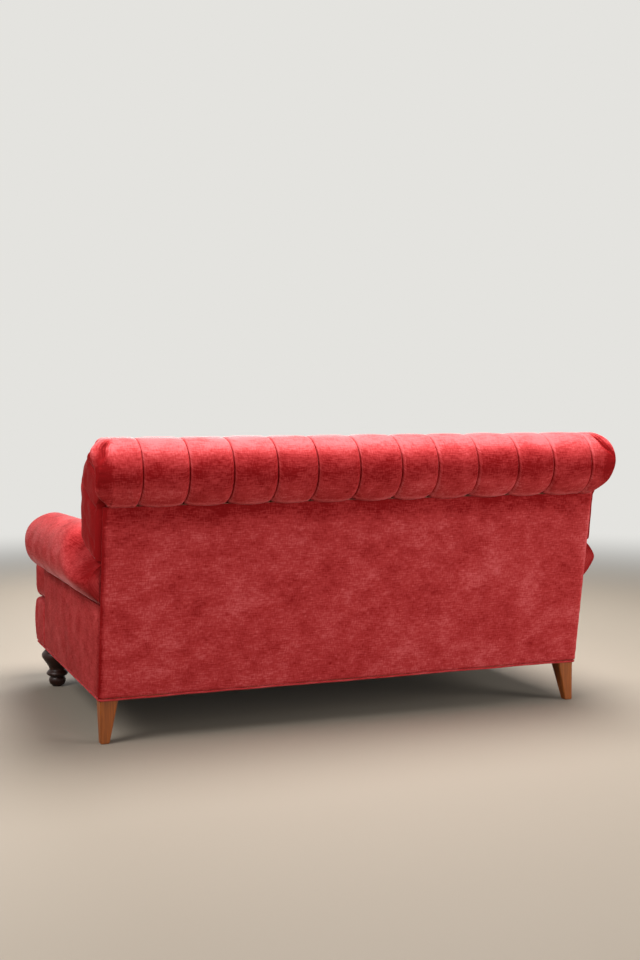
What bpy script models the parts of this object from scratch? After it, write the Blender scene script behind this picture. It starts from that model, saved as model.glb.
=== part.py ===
"""Settee with a pleated scroll back, rolled arms and loose T cushions.

Metres, +Z up, the sitter faces -Y and +X is at the sitter's left. The origin is on the floor, under the
middle of the overall box.
"""

import math

import bmesh
import bpy
import numpy as np
from mathutils import Matrix

# Overall sizes
BASE_WIDTH = 1.632  # over the outside arm panels
BASE_DEPTH = 1.083  # front edge to the foot of the outside back
LEG_HEIGHT = 0.130
BACK_RAKE = math.radians(9.1)
NOSE = 0.016  # the front border swells this far past the front edge
CORNER_RADIUS = 0.050
CORNER_STEPS = 5

# Scroll and back
BACK_ABOVE_ARM = 0.290  # top of the scroll above the front of the arm
SCROLL_RADIUS = 0.100
SCROLL_INSET = 0.019  # scroll centre ahead of the outside back's top edge
SCROLL_OVERHANG = 0.037  # scroll end past the side of the base
SCROLL_END_ROUND = 0.040
SCROLL_START = math.radians(-79)  # where the scroll's cover starts under its back, from level
BACK_TOP_DROP = 0.004  # outside back's top edge under the scroll
BACK_THICKNESS = 0.252  # inside back to outside back at the top row of buttons
BACK_THICKNESS_LOW = 0.243  # and at the seat
BACK_INSET = 0.016  # back frame's side inside the side of the base
WING_SWELL = 0.008  # wing past the side of the base
WING_FLOOR = 0.002  # wing above the arm
SHOULDER_START = math.radians(115)
SHOULDER_REACH = 0.078
SHOULDER_DROP = 0.080
SCROLL_SEAM_DROP = 0.175  # scroll's lower edge on the inside back, under the top of the scroll

# Tufting
TUFT_COUNT = 12
TUFT_SIDE = 0.063  # outermost pleats in from the sides of the back frame
TUFT_ROW_PITCH = 0.100
TUFT_TOP_DROP = 0.035  # top row of buttons under the scroll's lower edge
TUFT_DEPTH = 0.032
PLEAT_DEPTH = 0.010
PLEAT_HALF_WIDTH = 0.009
PANEL_CROWN = 0.002  # middle of a panel above its sides

# Arms
ARM_RADIUS = 0.100
ARM_HEIGHT = 0.620  # top of the roll at its front
ARM_RISE = 0.016  # the roll's top climbs this much towards the back
ARM_INSET = 0.029  # roll centre inside the side of the base
ARM_SETBACK = 0.200  # arm front behind the front edge of the base
ARM_TAIL = 0.150  # length over which the roll dies into the back corner
ARM_TAIL_WIDTH = 0.35
ARM_TAIL_HEIGHT = 0.73
CREASE_DROP = 0.202  # where the roll meets the outside arm, under the top of the roll
INSIDE_ARM = 0.034  # thickness of the inside arm
ARM_EDGE = 0.024  # radius of the padded edge round the arm's front
FACING = 0.012  # depth of the arm's front panel

# Seat
SEAT_EDGE_HEIGHT = 0.295
BORDER_DEPTH = 0.045
CUSHION_THICKNESS = 0.160
CUSHION_CROWN = 0.022
CUSHION_EDGE = 0.012  # radius of the rounded upper edge
CUSHION_CLEARANCE = 0.004
CUSHION_CORNER = 0.030
CUSHION_WAIST = 0.005  # sides drawn in between the corners
CUSHION_OVERHANG = 0.002

# Timber frame
RAIL = 0.028
RAIL_HEIGHT = 0.095
LOW_RAIL_DROP = 0.020
BLOCK = 0.060
STUMP_DEPTH = 0.028
ARM_RAIL_DROP = 0.020  # arm rail's top under the roll's centre
ARM_RAIL_HEIGHT = 0.028
TACK_RAIL = 0.022
TACK_RAIL_HEIGHT = 0.040
TACK_RAIL_RISE = 0.060
BACK_FRAME = 0.075
BACK_POST = 0.040
BACK_RAIL_HEIGHT = 0.050
BACK_RAIL_RISE = 0.070
SCROLL_RAIL_DROP = 0.010
SCROLL_RAIL_HEIGHT = 0.090
SCROLL_RAIL_INSET = 0.012
TIMBER_EDGE = 0.002

# Cover, springs, webs and small parts
COVER = 0.010  # cover with its wadding
WELT_RADIUS = 0.0033
DUST_COVER_RISE = 0.003
DUST_COVER = 0.0012
DUST_COVER_INSET = 0.012
SPRING_WIRE = 0.0038
SPRING_COUNT = 6
SPRING_SIDE = 0.0995  # outermost springs in from the inside arms
SPRING_HALF_WIDTH = 0.028
SPRING_BENDS = 14
WEB = 0.0015
WEB_WIDTH = 0.050
WEB_PLACES = (-0.56, -0.20, 0.20, 0.56)
WEB_OVERLAP = 0.025  # up the face of the scroll rail

# Legs
FRONT_LEG_INSET_X = 0.040
FRONT_LEG_INSET_Y = 0.214
FOOT_RADIUS = 0.015
BALL_RADIUS = 0.0295
RING_RADIUS = 0.0378
NECK_RADIUS = 0.0285
VASE_RADIUS = 0.053
SPIGOT_RADIUS = 0.030
REAR_LEG_TOP = 0.055
REAR_LEG_FOOT = 0.027
REAR_LEG_INSET = 0.007
REAR_LEG_EDGE = 0.003
LEG_STEPS = 28
BOLT_RADIUS = 0.004
BOLT_IN_LEG = 0.035
BOLT_IN_BLOCK = 0.045

GAP = 0.0003  # between pieces that touch

# Worked out from the sizes above
HALF = BASE_WIDTH / 2
OVERALL_HEIGHT = ARM_HEIGHT + BACK_ABOVE_ARM
CREASE_HEIGHT = ARM_HEIGHT - CREASE_DROP
SCROLL_SEAM_HEIGHT = OVERALL_HEIGHT - SCROLL_SEAM_DROP
TUFT_TOP_ROW = SCROLL_SEAM_HEIGHT - TUFT_TOP_DROP
RAKE = math.tan(BACK_RAKE)
BACK_TOP = OVERALL_HEIGHT - 2 * SCROLL_RADIUS
OVERHANG = RAKE * (BACK_TOP - LEG_HEIGHT) - SCROLL_INSET + SCROLL_RADIUS
Y_FRONT = NOSE - (NOSE + BASE_DEPTH + OVERHANG) / 2
Y_REAR = Y_FRONT + BASE_DEPTH
FRAME_X = HALF - COVER - GAP
BACK_X = HALF - BACK_INSET
TUFT_PITCH = 2 * (BACK_X - TUFT_SIDE) / (TUFT_COUNT - 1)
SKIRT = LEG_HEIGHT + 2 * WELT_RADIUS + GAP
LEG_TOP = LEG_HEIGHT + DUST_COVER_RISE - GAP
RAIL_BOTTOM = LEG_TOP + 2 * GAP + DUST_COVER
RAIL_TOP = RAIL_BOTTOM + RAIL_HEIGHT
DECK_BOTTOM = RAIL_TOP + 2 * GAP + SPRING_WIRE
ARM_X = HALF - ARM_INSET
ARM_INNER = ARM_X - ARM_RADIUS
SPRING_PITCH = 2 * (ARM_INNER - SPRING_SIDE) / (SPRING_COUNT - 1)
ARM_FRONT = Y_FRONT + ARM_SETBACK
ARM_Z = ARM_HEIGHT - ARM_RADIUS
ARM_RAIL_TOP = ARM_Z - ARM_RAIL_DROP
ARM_RAIL_BOTTOM = ARM_RAIL_TOP - ARM_RAIL_HEIGHT
FRAME_FRONT = COVER + GAP + BACK_FRAME  # back frame's front face, in from the outside back
PAD_REAR = FRAME_FRONT + 2 * GAP + WEB
BACK_RAIL_BOTTOM = RAIL_TOP + BACK_RAIL_RISE
SCROLL_RAIL_BOTTOM = BACK_TOP - SCROLL_RAIL_DROP
SCROLL_RAIL_TOP = SCROLL_RAIL_BOTTOM + SCROLL_RAIL_HEIGHT
CUSHION_TOP = SEAT_EDGE_HEIGHT + CUSHION_THICKNESS
FRONT_LEG = (HALF - FRONT_LEG_INSET_X, Y_FRONT + FRONT_LEG_INSET_Y)
REAR_LEG_CENTRE = REAR_LEG_INSET + REAR_LEG_TOP / 2
REAR_LEG = (HALF - REAR_LEG_CENTRE, Y_REAR - REAR_LEG_CENTRE)
SIDES = ((1, "left"), (-1, "right"))


def back_line(inset, z):
    """y at height z of the plane that lies inset in from the outside back."""
    return Y_REAR + RAKE * (z - LEG_HEIGHT) - inset / math.cos(BACK_RAKE)


SCROLL_Y = back_line(0, BACK_TOP) - SCROLL_INSET
SCROLL_Z = OVERALL_HEIGHT - SCROLL_RADIUS
BACK_FACE_TOP = back_line(0, TUFT_TOP_ROW) - BACK_THICKNESS
BACK_FACE_LOW = Y_REAR - BACK_THICKNESS_LOW


def clear_scene():
    for obj in list(bpy.data.objects):
        bpy.data.objects.remove(obj, do_unlink=True)


def new_collection(name):
    collection = bpy.data.collections.new(name)
    bpy.context.scene.collection.children.link(collection)
    return collection


def new_material(name, colour, roughness, metallic=0.0):
    material = bpy.data.materials.new(name)
    material.use_nodes = True
    shader = material.node_tree.nodes["Principled BSDF"]
    shader.inputs["Base Color"].default_value = (*colour, 1.0)
    shader.inputs["Roughness"].default_value = roughness
    shader.inputs["Metallic"].default_value = metallic
    return material


def place(obj, name, collection, material=None, smooth=False):
    """Name the object, give it its own material and keep it in one collection only."""
    obj.name = name
    obj.data.name = name
    for holder in list(obj.users_collection):
        holder.objects.unlink(obj)
    collection.objects.link(obj)
    if material is not None:
        obj.data.materials.append(new_material(f"{name}_{material[0]}", *material[1:]))
    if smooth and obj.type == "MESH":
        obj.data.shade_smooth()
        obj.data.set_sharp_from_angle(angle=math.radians(50))
    return obj


def box(name, low, high, material, edge=TIMBER_EDGE):
    """A board between two corners, its edges eased."""
    low, high = np.array(low), np.array(high)
    bpy.ops.mesh.primitive_cube_add(size=1, location=(low + high) / 2)
    obj = bpy.context.object
    obj.data.transform(Matrix.Diagonal((*(high - low), 1.0)))
    place(obj, name, PARTS, material)
    if edge:
        ease(obj, edge)
    return obj


def ease(obj, width):
    bevel = obj.modifiers.new("eased_edges", "BEVEL")
    bevel.width = width
    bevel.segments = 1
    bevel.limit_method = "ANGLE"
    return bevel


def prism(name, outline, low, high, material, across_x=True, edge=0.0):
    """A flat outline given thickness: (y, z) points along x from low to high, or (x, y) points along z."""
    curve = bpy.data.curves.new(name, "CURVE")
    curve.dimensions = "2D"
    curve.fill_mode = "BOTH"
    curve.extrude = (high - low) / 2
    spline = curve.splines.new("POLY")
    spline.points.add(len(outline) - 1)
    for point, (u, v) in zip(spline.points, outline):
        point.co = (u, v, 0.0, 1.0)
    spline.use_cyclic_u = True
    obj = bpy.data.objects.new(name, curve)
    middle = (low + high) / 2
    if across_x:
        obj.rotation_euler = (math.pi / 2, 0.0, math.pi / 2)
        obj.location = (middle, 0.0, 0.0)
    else:
        obj.location = (0.0, 0.0, middle)
    place(obj, name, PARTS, material)
    if edge:
        weld = obj.modifiers.new("weld", "WELD")
        weld.merge_threshold = 0.00001
        ease(obj, edge)
    return obj


def loft(name, rings, material, collection=None, smooth=True):
    """A closed skin over rings of equal point counts, with a flat cap on each end ring."""
    rings = np.asarray(rings, float)
    count, around = rings.shape[:2]
    mesh = bmesh.new()
    verts = [[mesh.verts.new(point) for point in ring] for ring in rings]
    for one, two in zip(verts[:-1], verts[1:]):
        for i in range(around):
            j = (i + 1) % around
            mesh.faces.new((one[i], one[j], two[j], two[i]))
    mesh.faces.new(verts[0][::-1])
    mesh.faces.new(verts[-1])
    bmesh.ops.recalc_face_normals(mesh, faces=mesh.faces)
    data = bpy.data.meshes.new(name)
    mesh.to_mesh(data)
    mesh.free()
    obj = bpy.data.objects.new(name, data)
    return place(obj, name, collection or PARTS, material, smooth)


def turned(name, profile, centre, material, steps=20, about_x=False, collection=None):
    """A profile of (radius, height) points, top to bottom, spun about an axis through centre."""
    data = bpy.data.meshes.new(name)
    points = [(radius, 0.0, height) for radius, height in profile]
    data.from_pydata(points, [(i, i + 1) for i in range(len(points) - 1)], [])
    obj = bpy.data.objects.new(name, data)
    obj.location = centre
    if about_x:
        obj.rotation_euler = (0.0, math.pi / 2, 0.0)
    screw = obj.modifiers.new("spin", "SCREW")
    screw.steps = steps
    screw.render_steps = steps
    screw.use_merge_vertices = True
    screw.merge_threshold = 0.00001
    screw.use_smooth_shade = True
    return place(obj, name, collection or PARTS, material)


def wire(name, points, radius, material, resolution=0, cyclic=False):
    """A round tube along the points."""
    curve = bpy.data.curves.new(name, "CURVE")
    curve.dimensions = "3D"
    curve.bevel_depth = radius
    curve.bevel_resolution = resolution
    curve.use_fill_caps = not cyclic
    spline = curve.splines.new("POLY")
    spline.points.add(len(points) - 1)
    for point, place_at in zip(spline.points, points):
        point.co = (*place_at, 1.0)
    spline.use_cyclic_u = cyclic
    return place(bpy.data.objects.new(name, curve), name, PARTS, material)


def as_cutter(obj):
    obj.hide_render = True
    obj.display_type = "WIRE"
    return obj


def boolean(obj, other, operation="DIFFERENCE"):
    modifier = obj.modifiers.new(operation.lower(), "BOOLEAN")
    modifier.object = as_cutter(other)
    modifier.operation = operation
    return modifier


def cutter_box(name, low, high):
    cutter = box(name, low, high, None, edge=0)
    for holder in list(cutter.users_collection):
        holder.objects.unlink(cutter)
    CUTTERS.objects.link(cutter)
    return cutter


def drill(objects, name, x, y, low, high):
    """One bolt hole through each of the objects."""
    radius = BOLT_RADIUS + GAP
    profile = ((0.0, high), (radius, high), (radius, low), (0.0, low))
    cutter = turned(name, profile, (x, y, 0.0), None, steps=8, collection=CUTTERS)
    for obj in objects:
        boolean(obj, cutter)


def to_mesh(obj):
    """Replace a curve by the mesh that it makes, its caps welded on, so that it can be cut."""
    graph = bpy.context.evaluated_depsgraph_get()
    bpy.context.view_layer.update()
    data = bpy.data.meshes.new_from_object(obj.evaluated_get(graph))
    mesh = bmesh.new()
    mesh.from_mesh(data)
    bmesh.ops.remove_doubles(mesh, verts=mesh.verts, dist=0.00001)
    mesh.to_mesh(data)
    mesh.free()
    name, matrix = obj.name, obj.matrix_world.copy()
    bpy.data.objects.remove(obj, do_unlink=True)
    solid = bpy.data.objects.new(name, data)
    PARTS.objects.link(solid)
    solid.name = name
    solid.matrix_world = matrix
    return solid


def mirrored_x(low, high, side):
    """The x range low..high on the side named, lowest first."""
    return sorted((side * low, side * high))


def arm_top(y):
    """Height of the arm roll's crown at y, without the tail's fall."""
    run = (y - ARM_FRONT) / (BACK_FACE_LOW - ARM_FRONT)
    return ARM_HEIGHT + ARM_RISE * min(max(run, 0.0), 1.0)


def tail_shape(to_back):
    """How much of the roll's width and height is left at this distance ahead of the outside back."""
    run = min(max(1 - to_back / ARM_TAIL, 0.0), 1.0)
    left = math.sqrt(1 - run * run)
    width = ARM_TAIL_WIDTH + (1 - ARM_TAIL_WIDTH) * left
    height = ARM_TAIL_HEIGHT + (1 - ARM_TAIL_HEIGHT) * left
    return width, height


def arm_ring(side, y, lean, inset, to_back):
    """A section of the arm padding: round the roll, down the inside arm and up inside over the arm rail."""
    rise = (arm_top(y) - ARM_HEIGHT) / 2
    start = math.atan2(CREASE_HEIGHT - ARM_Z, ARM_INSET)
    angles = np.linspace(start, math.pi, 18)
    radius = ARM_RADIUS - inset
    x = ARM_X + radius * np.cos(angles)
    z = ARM_Z + rise * (1 + np.sin(angles)) + radius * np.sin(angles)
    width, height = tail_shape(to_back)
    outside = x > FRAME_X
    x = np.where(outside, FRAME_X + (x - FRAME_X) * width, x)
    crease = CREASE_HEIGHT + GAP
    z = np.maximum(crease, crease + (z - crease) * height)
    x[0], z[0] = HALF - inset, crease
    wall = ARM_INNER + INSIDE_ARM
    inner = ((ARM_INNER + inset, RAIL_TOP + GAP), (wall, RAIL_TOP + GAP), (wall, ARM_RAIL_TOP + GAP))
    inner += ((FRAME_X + GAP, ARM_RAIL_TOP + GAP), (FRAME_X + GAP, crease))
    points = list(zip(x, z)) + list(inner)
    return [(side * px, y + lean * RAKE * (pz - LEG_HEIGHT), pz) for px, pz in points]


def front_inset(depth):
    """How far the rounded front edge falls inside the arm, this deep behind the arm's front."""
    short = max(ARM_EDGE - depth, 0.0)
    return ARM_EDGE - math.sqrt(ARM_EDGE**2 - short**2)


def make_arms():
    roll_start = ARM_FRONT + FACING + GAP
    post_front = back_line(FRAME_FRONT, RAIL_TOP) - GAP
    for side, name in SIDES:
        rings = []
        for y in (roll_start, ARM_FRONT + ARM_EDGE):
            rings.append(arm_ring(side, y, 0.0, front_inset(y - ARM_FRONT), BASE_DEPTH))
        for run in (0.35, 0.7, 1.0):
            y = ARM_FRONT + run * (BACK_FACE_LOW - ARM_FRONT)
            rings.append(arm_ring(side, y, 0.0, 0.0, BASE_DEPTH))
        for to_back in np.array((1.0, 0.75, 0.5, 0.3, 0.15)) * ARM_TAIL:
            rings.append(arm_ring(side, Y_REAR - to_back, 1.0, 0.0, to_back))
        rings.append(arm_ring(side, Y_REAR - COVER - 2 * GAP, 1.0, 0.0, 0.0))
        pad = loft(f"arm_pad_{name}", rings, VELVET)
        x0, x1 = mirrored_x(ARM_INNER - COVER, FRAME_X + GAP, side)
        low = (x0, post_front, RAIL_TOP - COVER)
        boolean(pad, cutter_box(f"arm_cutter_{name}", low, (x1, Y_REAR + COVER + OVERHANG, OVERALL_HEIGHT)))

        outline = [(ARM_FRONT, SKIRT), (back_line(COVER + GAP, SKIRT), SKIRT)]
        outline += [(back_line(COVER + GAP, CREASE_HEIGHT), CREASE_HEIGHT), (ARM_FRONT, CREASE_HEIGHT)]
        prism(f"outside_arm_{name}", outline, *mirrored_x(HALF - COVER, HALF, side), VELVET)

        make_facing(name, side)

        x0, x1 = mirrored_x(FRAME_X - BLOCK, FRAME_X, side)
        stump_rear = roll_start + STUMP_DEPTH
        stump_top = ARM_RAIL_BOTTOM - GAP
        box(f"arm_stump_{name}", (x0, roll_start, RAIL_TOP + GAP), (x1, stump_rear, stump_top), BEECH)
        rail_rear = back_line(FRAME_FRONT, ARM_RAIL_BOTTOM) - GAP
        box(f"arm_top_rail_{name}", (x0, roll_start, ARM_RAIL_BOTTOM), (x1, rail_rear, ARM_RAIL_TOP), BEECH)
        x0, x1 = mirrored_x(FRAME_X - BLOCK, FRAME_X - BLOCK + TACK_RAIL, side)
        bottom = RAIL_TOP + TACK_RAIL_RISE
        tack_rear = back_line(FRAME_FRONT, bottom) - GAP
        low, high = (x0, stump_rear + GAP, bottom), (x1, tack_rear, bottom + TACK_RAIL_HEIGHT)
        box(f"arm_tack_rail_{name}", low, high, BEECH)


def make_facing(name, side):
    """The padded front of the arm: a keyhole outline whose rounded edge runs on from the roll's."""
    rings = []
    for depth in (0.0, 0.15 * ARM_EDGE, FACING):
        inset = front_inset(depth) + WELT_RADIUS * (1 - depth / FACING)
        radius = ARM_RADIUS - inset
        outer, bottom = FRAME_X - inset, RAIL_TOP + GAP
        start = -math.acos((outer - ARM_X) / radius)
        outline = [(outer, bottom)]
        for turn in np.linspace(start, math.pi, 18):
            outline.append((ARM_X + radius * math.cos(turn), ARM_Z + radius * math.sin(turn)))
        outline.append((ARM_X - radius, bottom))
        rings.append([(side * x, ARM_FRONT + depth, z) for x, z in outline])
    loft(f"arm_facing_{name}", rings, VELVET)


def make_seat_frame(dust_cover):
    """Rails, leg blocks and legs, each leg on a hanger bolt that runs up through the dust cover."""
    front = Y_FRONT + COVER + GAP
    rear = Y_REAR - COVER - GAP
    bend = (CORNER_RADIUS - COVER) * math.cos(math.radians(45 / CORNER_STEPS)) - 2 * GAP
    rear_angle = math.asin((CORNER_RADIUS - COVER - GAP - RAIL) / bend)
    outline = [(HALF - CORNER_RADIUS, front)]
    for turn in np.linspace(math.pi / 2, rear_angle, CORNER_STEPS):
        x, y = HALF - CORNER_RADIUS + bend * math.cos(turn), Y_FRONT + CORNER_RADIUS - bend * math.sin(turn)
        outline.append((x, y))
    outline += [(-x, y) for x, y in outline[::-1]]
    prism("front_rail", outline, RAIL_BOTTOM, RAIL_TOP, BEECH, False)
    inner = FRAME_X - BLOCK - GAP
    leg_y = FRONT_LEG[1]
    low_top = RAIL_TOP - LOW_RAIL_DROP
    box("rear_rail", (-inner, rear - RAIL, RAIL_BOTTOM), (inner, rear, RAIL_TOP), BEECH)
    box("cross_rail", (-inner, leg_y - RAIL / 2, RAIL_BOTTOM), (inner, leg_y + RAIL / 2, low_top), BEECH)
    low = (-RAIL / 2, leg_y + RAIL / 2 + GAP, RAIL_BOTTOM)
    box("seat_stretcher", low, (RAIL / 2, rear - RAIL - GAP, low_top), BEECH)
    for side, name in SIDES:
        x0, x1 = mirrored_x(FRAME_X - RAIL, FRAME_X, side)
        ear = (front + RAIL + GAP, leg_y - BLOCK / 2 - GAP)
        run = (leg_y + BLOCK / 2 + GAP, rear - BLOCK - GAP)
        outline = [(FRAME_X - RAIL, ear[0]), (FRAME_X - 2 * TIMBER_EDGE, ear[0])]
        outline += [(FRAME_X, Y_FRONT + CORNER_RADIUS + GAP), (FRAME_X, ear[1]), (FRAME_X - RAIL, ear[1])]
        outline = [(side * x, y) for x, y in outline]
        prism(f"ear_rail_{name}", outline, RAIL_BOTTOM, RAIL_TOP, BEECH, False)
        box(f"side_rail_{name}", (x0, run[0], RAIL_BOTTOM), (x1, run[1], RAIL_TOP), BEECH)
        x0, x1 = mirrored_x(FRAME_X - BLOCK, FRAME_X, side)
        low, high = (x0, leg_y - BLOCK / 2, RAIL_BOTTOM), (x1, leg_y + BLOCK / 2, RAIL_TOP)
        front_block = box(f"front_leg_block_{name}", low, high, BEECH)
        low, high = (x0, rear - BLOCK, RAIL_BOTTOM), (x1, rear, RAIL_TOP)
        rear_block = box(f"rear_leg_block_{name}", low, high, BEECH)
        legs = make_legs(side, name)
        holes = zip(("front", "rear"), (FRONT_LEG, REAR_LEG), (front_block, rear_block), legs)
        for end, (x, y), block, leg in holes:
            low, high = LEG_TOP - BOLT_IN_LEG, RAIL_BOTTOM + BOLT_IN_BLOCK
            profile = ((0.0, high), (BOLT_RADIUS, high), (BOLT_RADIUS, low), (0.0, low))
            turned(f"{end}_leg_bolt_{name}", profile, (side * x, y, 0.0), STEEL, steps=8)
            drill((block, leg, dust_cover), f"bolt_hole_{end}_{name}", side * x, y, low - GAP, high + GAP)


def make_legs(side, name):
    """A turned front leg and a rear leg that tapers on its two inner faces."""
    shoulder = LEG_HEIGHT - GAP
    profile = ((0.0, LEG_TOP), (SPIGOT_RADIUS, LEG_TOP), (SPIGOT_RADIUS, shoulder))
    profile += ((VASE_RADIUS - 0.011, shoulder), (VASE_RADIUS - 0.003, LEG_HEIGHT - 0.009))
    profile += ((VASE_RADIUS, LEG_HEIGHT - 0.021), (VASE_RADIUS - 0.007, LEG_HEIGHT - 0.035))
    profile += ((NECK_RADIUS + 0.006, 0.078), (NECK_RADIUS, 0.066), (RING_RADIUS - 0.006, 0.057))
    profile += ((RING_RADIUS, 0.051), (RING_RADIUS, 0.044), (RING_RADIUS - 0.007, 0.038))
    profile += ((BALL_RADIUS - 0.002, 0.034), (BALL_RADIUS, 0.024), (BALL_RADIUS - 0.003, 0.013))
    profile += ((FOOT_RADIUS + 0.004, 0.003), (FOOT_RADIUS, 0.0), (0.0, 0.0))
    centre = (side * FRONT_LEG[0], FRONT_LEG[1], 0.0)
    front = turned(f"front_leg_{name}", profile, centre, DARK_WOOD, LEG_STEPS)
    rings = []
    for width, z in ((REAR_LEG_FOOT, 0.0), (REAR_LEG_TOP, LEG_TOP)):
        x1, y1 = HALF - REAR_LEG_INSET, Y_REAR - REAR_LEG_INSET
        corners = ((x1, y1), (x1 - width, y1), (x1 - width, y1 - width), (x1, y1 - width))
        rings.append([(side * x, y, z) for x, y in corners])
    rear = loft(f"rear_leg_{name}", rings, WALNUT, smooth=False)
    ease(rear, REAR_LEG_EDGE)
    return front, rear


def back_board(name, z0, z1, x0, x1):
    """A board of the raked back frame, level at both ends."""
    outline = [(back_line(COVER + GAP, z), z) for z in (z0, z1)]
    outline += [(back_line(FRAME_FRONT, z), z) for z in (z1, z0)]
    return prism(name, outline, x0, x1, BEECH)


def make_back_frame():
    rail_top = BACK_RAIL_BOTTOM + BACK_RAIL_HEIGHT
    inner = BACK_X - BACK_POST - GAP
    for side, name in SIDES:
        x0, x1 = mirrored_x(BACK_X - BACK_POST, BACK_X, side)
        back_board(f"back_post_{name}", RAIL_TOP + GAP, SCROLL_RAIL_BOTTOM - GAP, x0, x1)
    back_board("back_lower_rail", BACK_RAIL_BOTTOM, rail_top, -inner, inner)
    half = BACK_POST / 2
    back_board("back_post_centre", rail_top + GAP, SCROLL_RAIL_BOTTOM - GAP, -half, half)
    end = BACK_X - SCROLL_RAIL_INSET
    back_board("scroll_rail", SCROLL_RAIL_BOTTOM, SCROLL_RAIL_TOP, -end, end)
    low, high = BACK_RAIL_BOTTOM + TIMBER_EDGE, SCROLL_RAIL_BOTTOM + WEB_OVERLAP
    for number, x in enumerate(WEB_PLACES, 1):
        outline = [(back_line(FRAME_FRONT + GAP, z), z) for z in (low, high)]
        outline += [(back_line(FRAME_FRONT + GAP + WEB, z), z) for z in (high, low)]
        prism(f"back_web_{number}", outline, x - WEB_WIDTH / 2, x + WEB_WIDTH / 2, WEBBING)


def make_springs():
    """Sinuous springs lie in zigzags across the seat, on the front and rear rails."""
    y0 = Y_FRONT + COVER + GAP + RAIL / 2
    y1 = Y_REAR - COVER - GAP - RAIL / 2
    z = RAIL_TOP + GAP + SPRING_WIRE / 2
    lead = RAIL
    pitch = (y1 - y0 - 2 * lead) / SPRING_BENDS
    for number in range(SPRING_COUNT):
        x = (number - (SPRING_COUNT - 1) / 2) * SPRING_PITCH
        points = [(x, y0, z)]
        for bend in range(SPRING_BENDS):
            reach = SPRING_HALF_WIDTH * (-1) ** bend
            start = y0 + lead + bend * pitch
            points += [(x + reach, start + 0.2 * pitch, z), (x + reach, start + 0.8 * pitch, z)]
        points.append((x, y1, z))
        wire(f"seat_spring_{number + 1}", points, SPRING_WIRE / 2, STEEL)


def base_outline(inset, front_radius, rear_radius, steps):
    """The base's plan, counter-clockwise, at this distance inside its edge."""
    x, y0, y1 = HALF - inset, Y_FRONT + inset, Y_REAR - inset
    corners = ((x, y0, front_radius, -90), (x, y1, rear_radius, 0))
    corners += ((-x, y1, rear_radius, 90), (-x, y0, front_radius, 180))
    points = []
    for cx, cy, edge_radius, first in corners:
        radius = max(edge_radius - inset, GAP)
        centre = (cx - math.copysign(radius, cx), cy + (radius if cy == y0 else -radius))
        for turn in np.radians(np.linspace(first, first + 90, steps)):
            points.append((centre[0] + radius * math.cos(turn), centre[1] + radius * math.sin(turn)))
    return points


def make_base_cover():
    plan = base_outline(WELT_RADIUS, CORNER_RADIUS, 3 * WELT_RADIUS, 6)
    wire("bottom_welt", [(x, y, LEG_HEIGHT + WELT_RADIUS) for x, y in plan], WELT_RADIUS, VELVET, 1, True)

    top = SEAT_EDGE_HEIGHT
    section = ((0.0, 0.0, SKIRT), (0.0, 0.55, SKIRT + 0.025), (0.0, 1.0, SKIRT + 0.062))
    section += ((0.0, 0.85, top - 0.045), (-0.004, 0.4, top - 0.018), (-0.014, 0.1, top - 0.003))
    section += ((-0.024, 0.0, top), (-BORDER_DEPTH, 0.0, top), (-BORDER_DEPTH, 0.0, DECK_BOTTOM))
    section += ((-COVER, 0.0, DECK_BOTTOM), (-COVER, 0.0, SKIRT))
    path = [(HALF, ARM_FRONT - GAP, 0.0)]
    for turn in np.radians(np.linspace(0, -90, CORNER_STEPS + 1)):
        path.append((HALF - CORNER_RADIUS, Y_FRONT + CORNER_RADIUS, turn))
    path += [(-x, y, math.pi - turn) for x, y, turn in path[::-1]]
    rings = []
    for x, y, turn in path:
        out = (math.cos(turn), math.sin(turn))
        at_corner = abs(x) < HALF
        swell = NOSE * max(0.0, -out[1])
        ring = []
        for inset, share, z in section:
            reach = inset + share * swell + (CORNER_RADIUS if at_corner else 0.0)
            ring.append((x + out[0] * reach, y + out[1] * reach, z))
        rings.append(ring)
    loft("front_border", rings, VELVET)

    wide = HALF - BORDER_DEPTH - GAP
    narrow = ARM_INNER - GAP
    front, rear = Y_FRONT + BORDER_DEPTH + GAP, back_line(FRAME_FRONT, DECK_BOTTOM) - GAP
    bend = CORNER_RADIUS - BORDER_DEPTH
    right_half = [(wide - bend, front), (wide, front + bend), (wide, ARM_FRONT - GAP)]
    right_half += [(narrow, ARM_FRONT - GAP), (narrow, rear)]
    outline = right_half + [(-x, y) for x, y in right_half[::-1]]
    prism("seat_deck", outline, DECK_BOTTOM, SEAT_EDGE_HEIGHT, DECK_CLOTH, False)


def make_dust_cover():
    plan = base_outline(DUST_COVER_INSET, CORNER_RADIUS, DUST_COVER_INSET + WELT_RADIUS, 2)
    bottom = LEG_HEIGHT + DUST_COVER_RISE
    sheet = prism("dust_cover", plan, bottom, bottom + DUST_COVER, CAMBRIC, False)
    return to_mesh(sheet)


def shoulder_curve(t):
    """(y, z) along the Bezier curve from the scroll's front down to the face of the inside back."""
    start = np.array((SCROLL_Y + SCROLL_RADIUS * math.cos(SHOULDER_START),
                      SCROLL_Z + SCROLL_RADIUS * math.sin(SHOULDER_START)))
    away = np.array((-math.sin(SHOULDER_START), math.cos(SHOULDER_START)))
    end = np.array((BACK_FACE_TOP, SCROLL_SEAM_HEIGHT))
    controls = (start, start + SHOULDER_REACH * away, end + (0.010, SHOULDER_DROP), end)
    weights = ((1 - t) ** 3, 3 * t * (1 - t) ** 2, 3 * t * t * (1 - t), t**3)
    return sum(w * c for w, c in zip(weights, controls))


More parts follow.
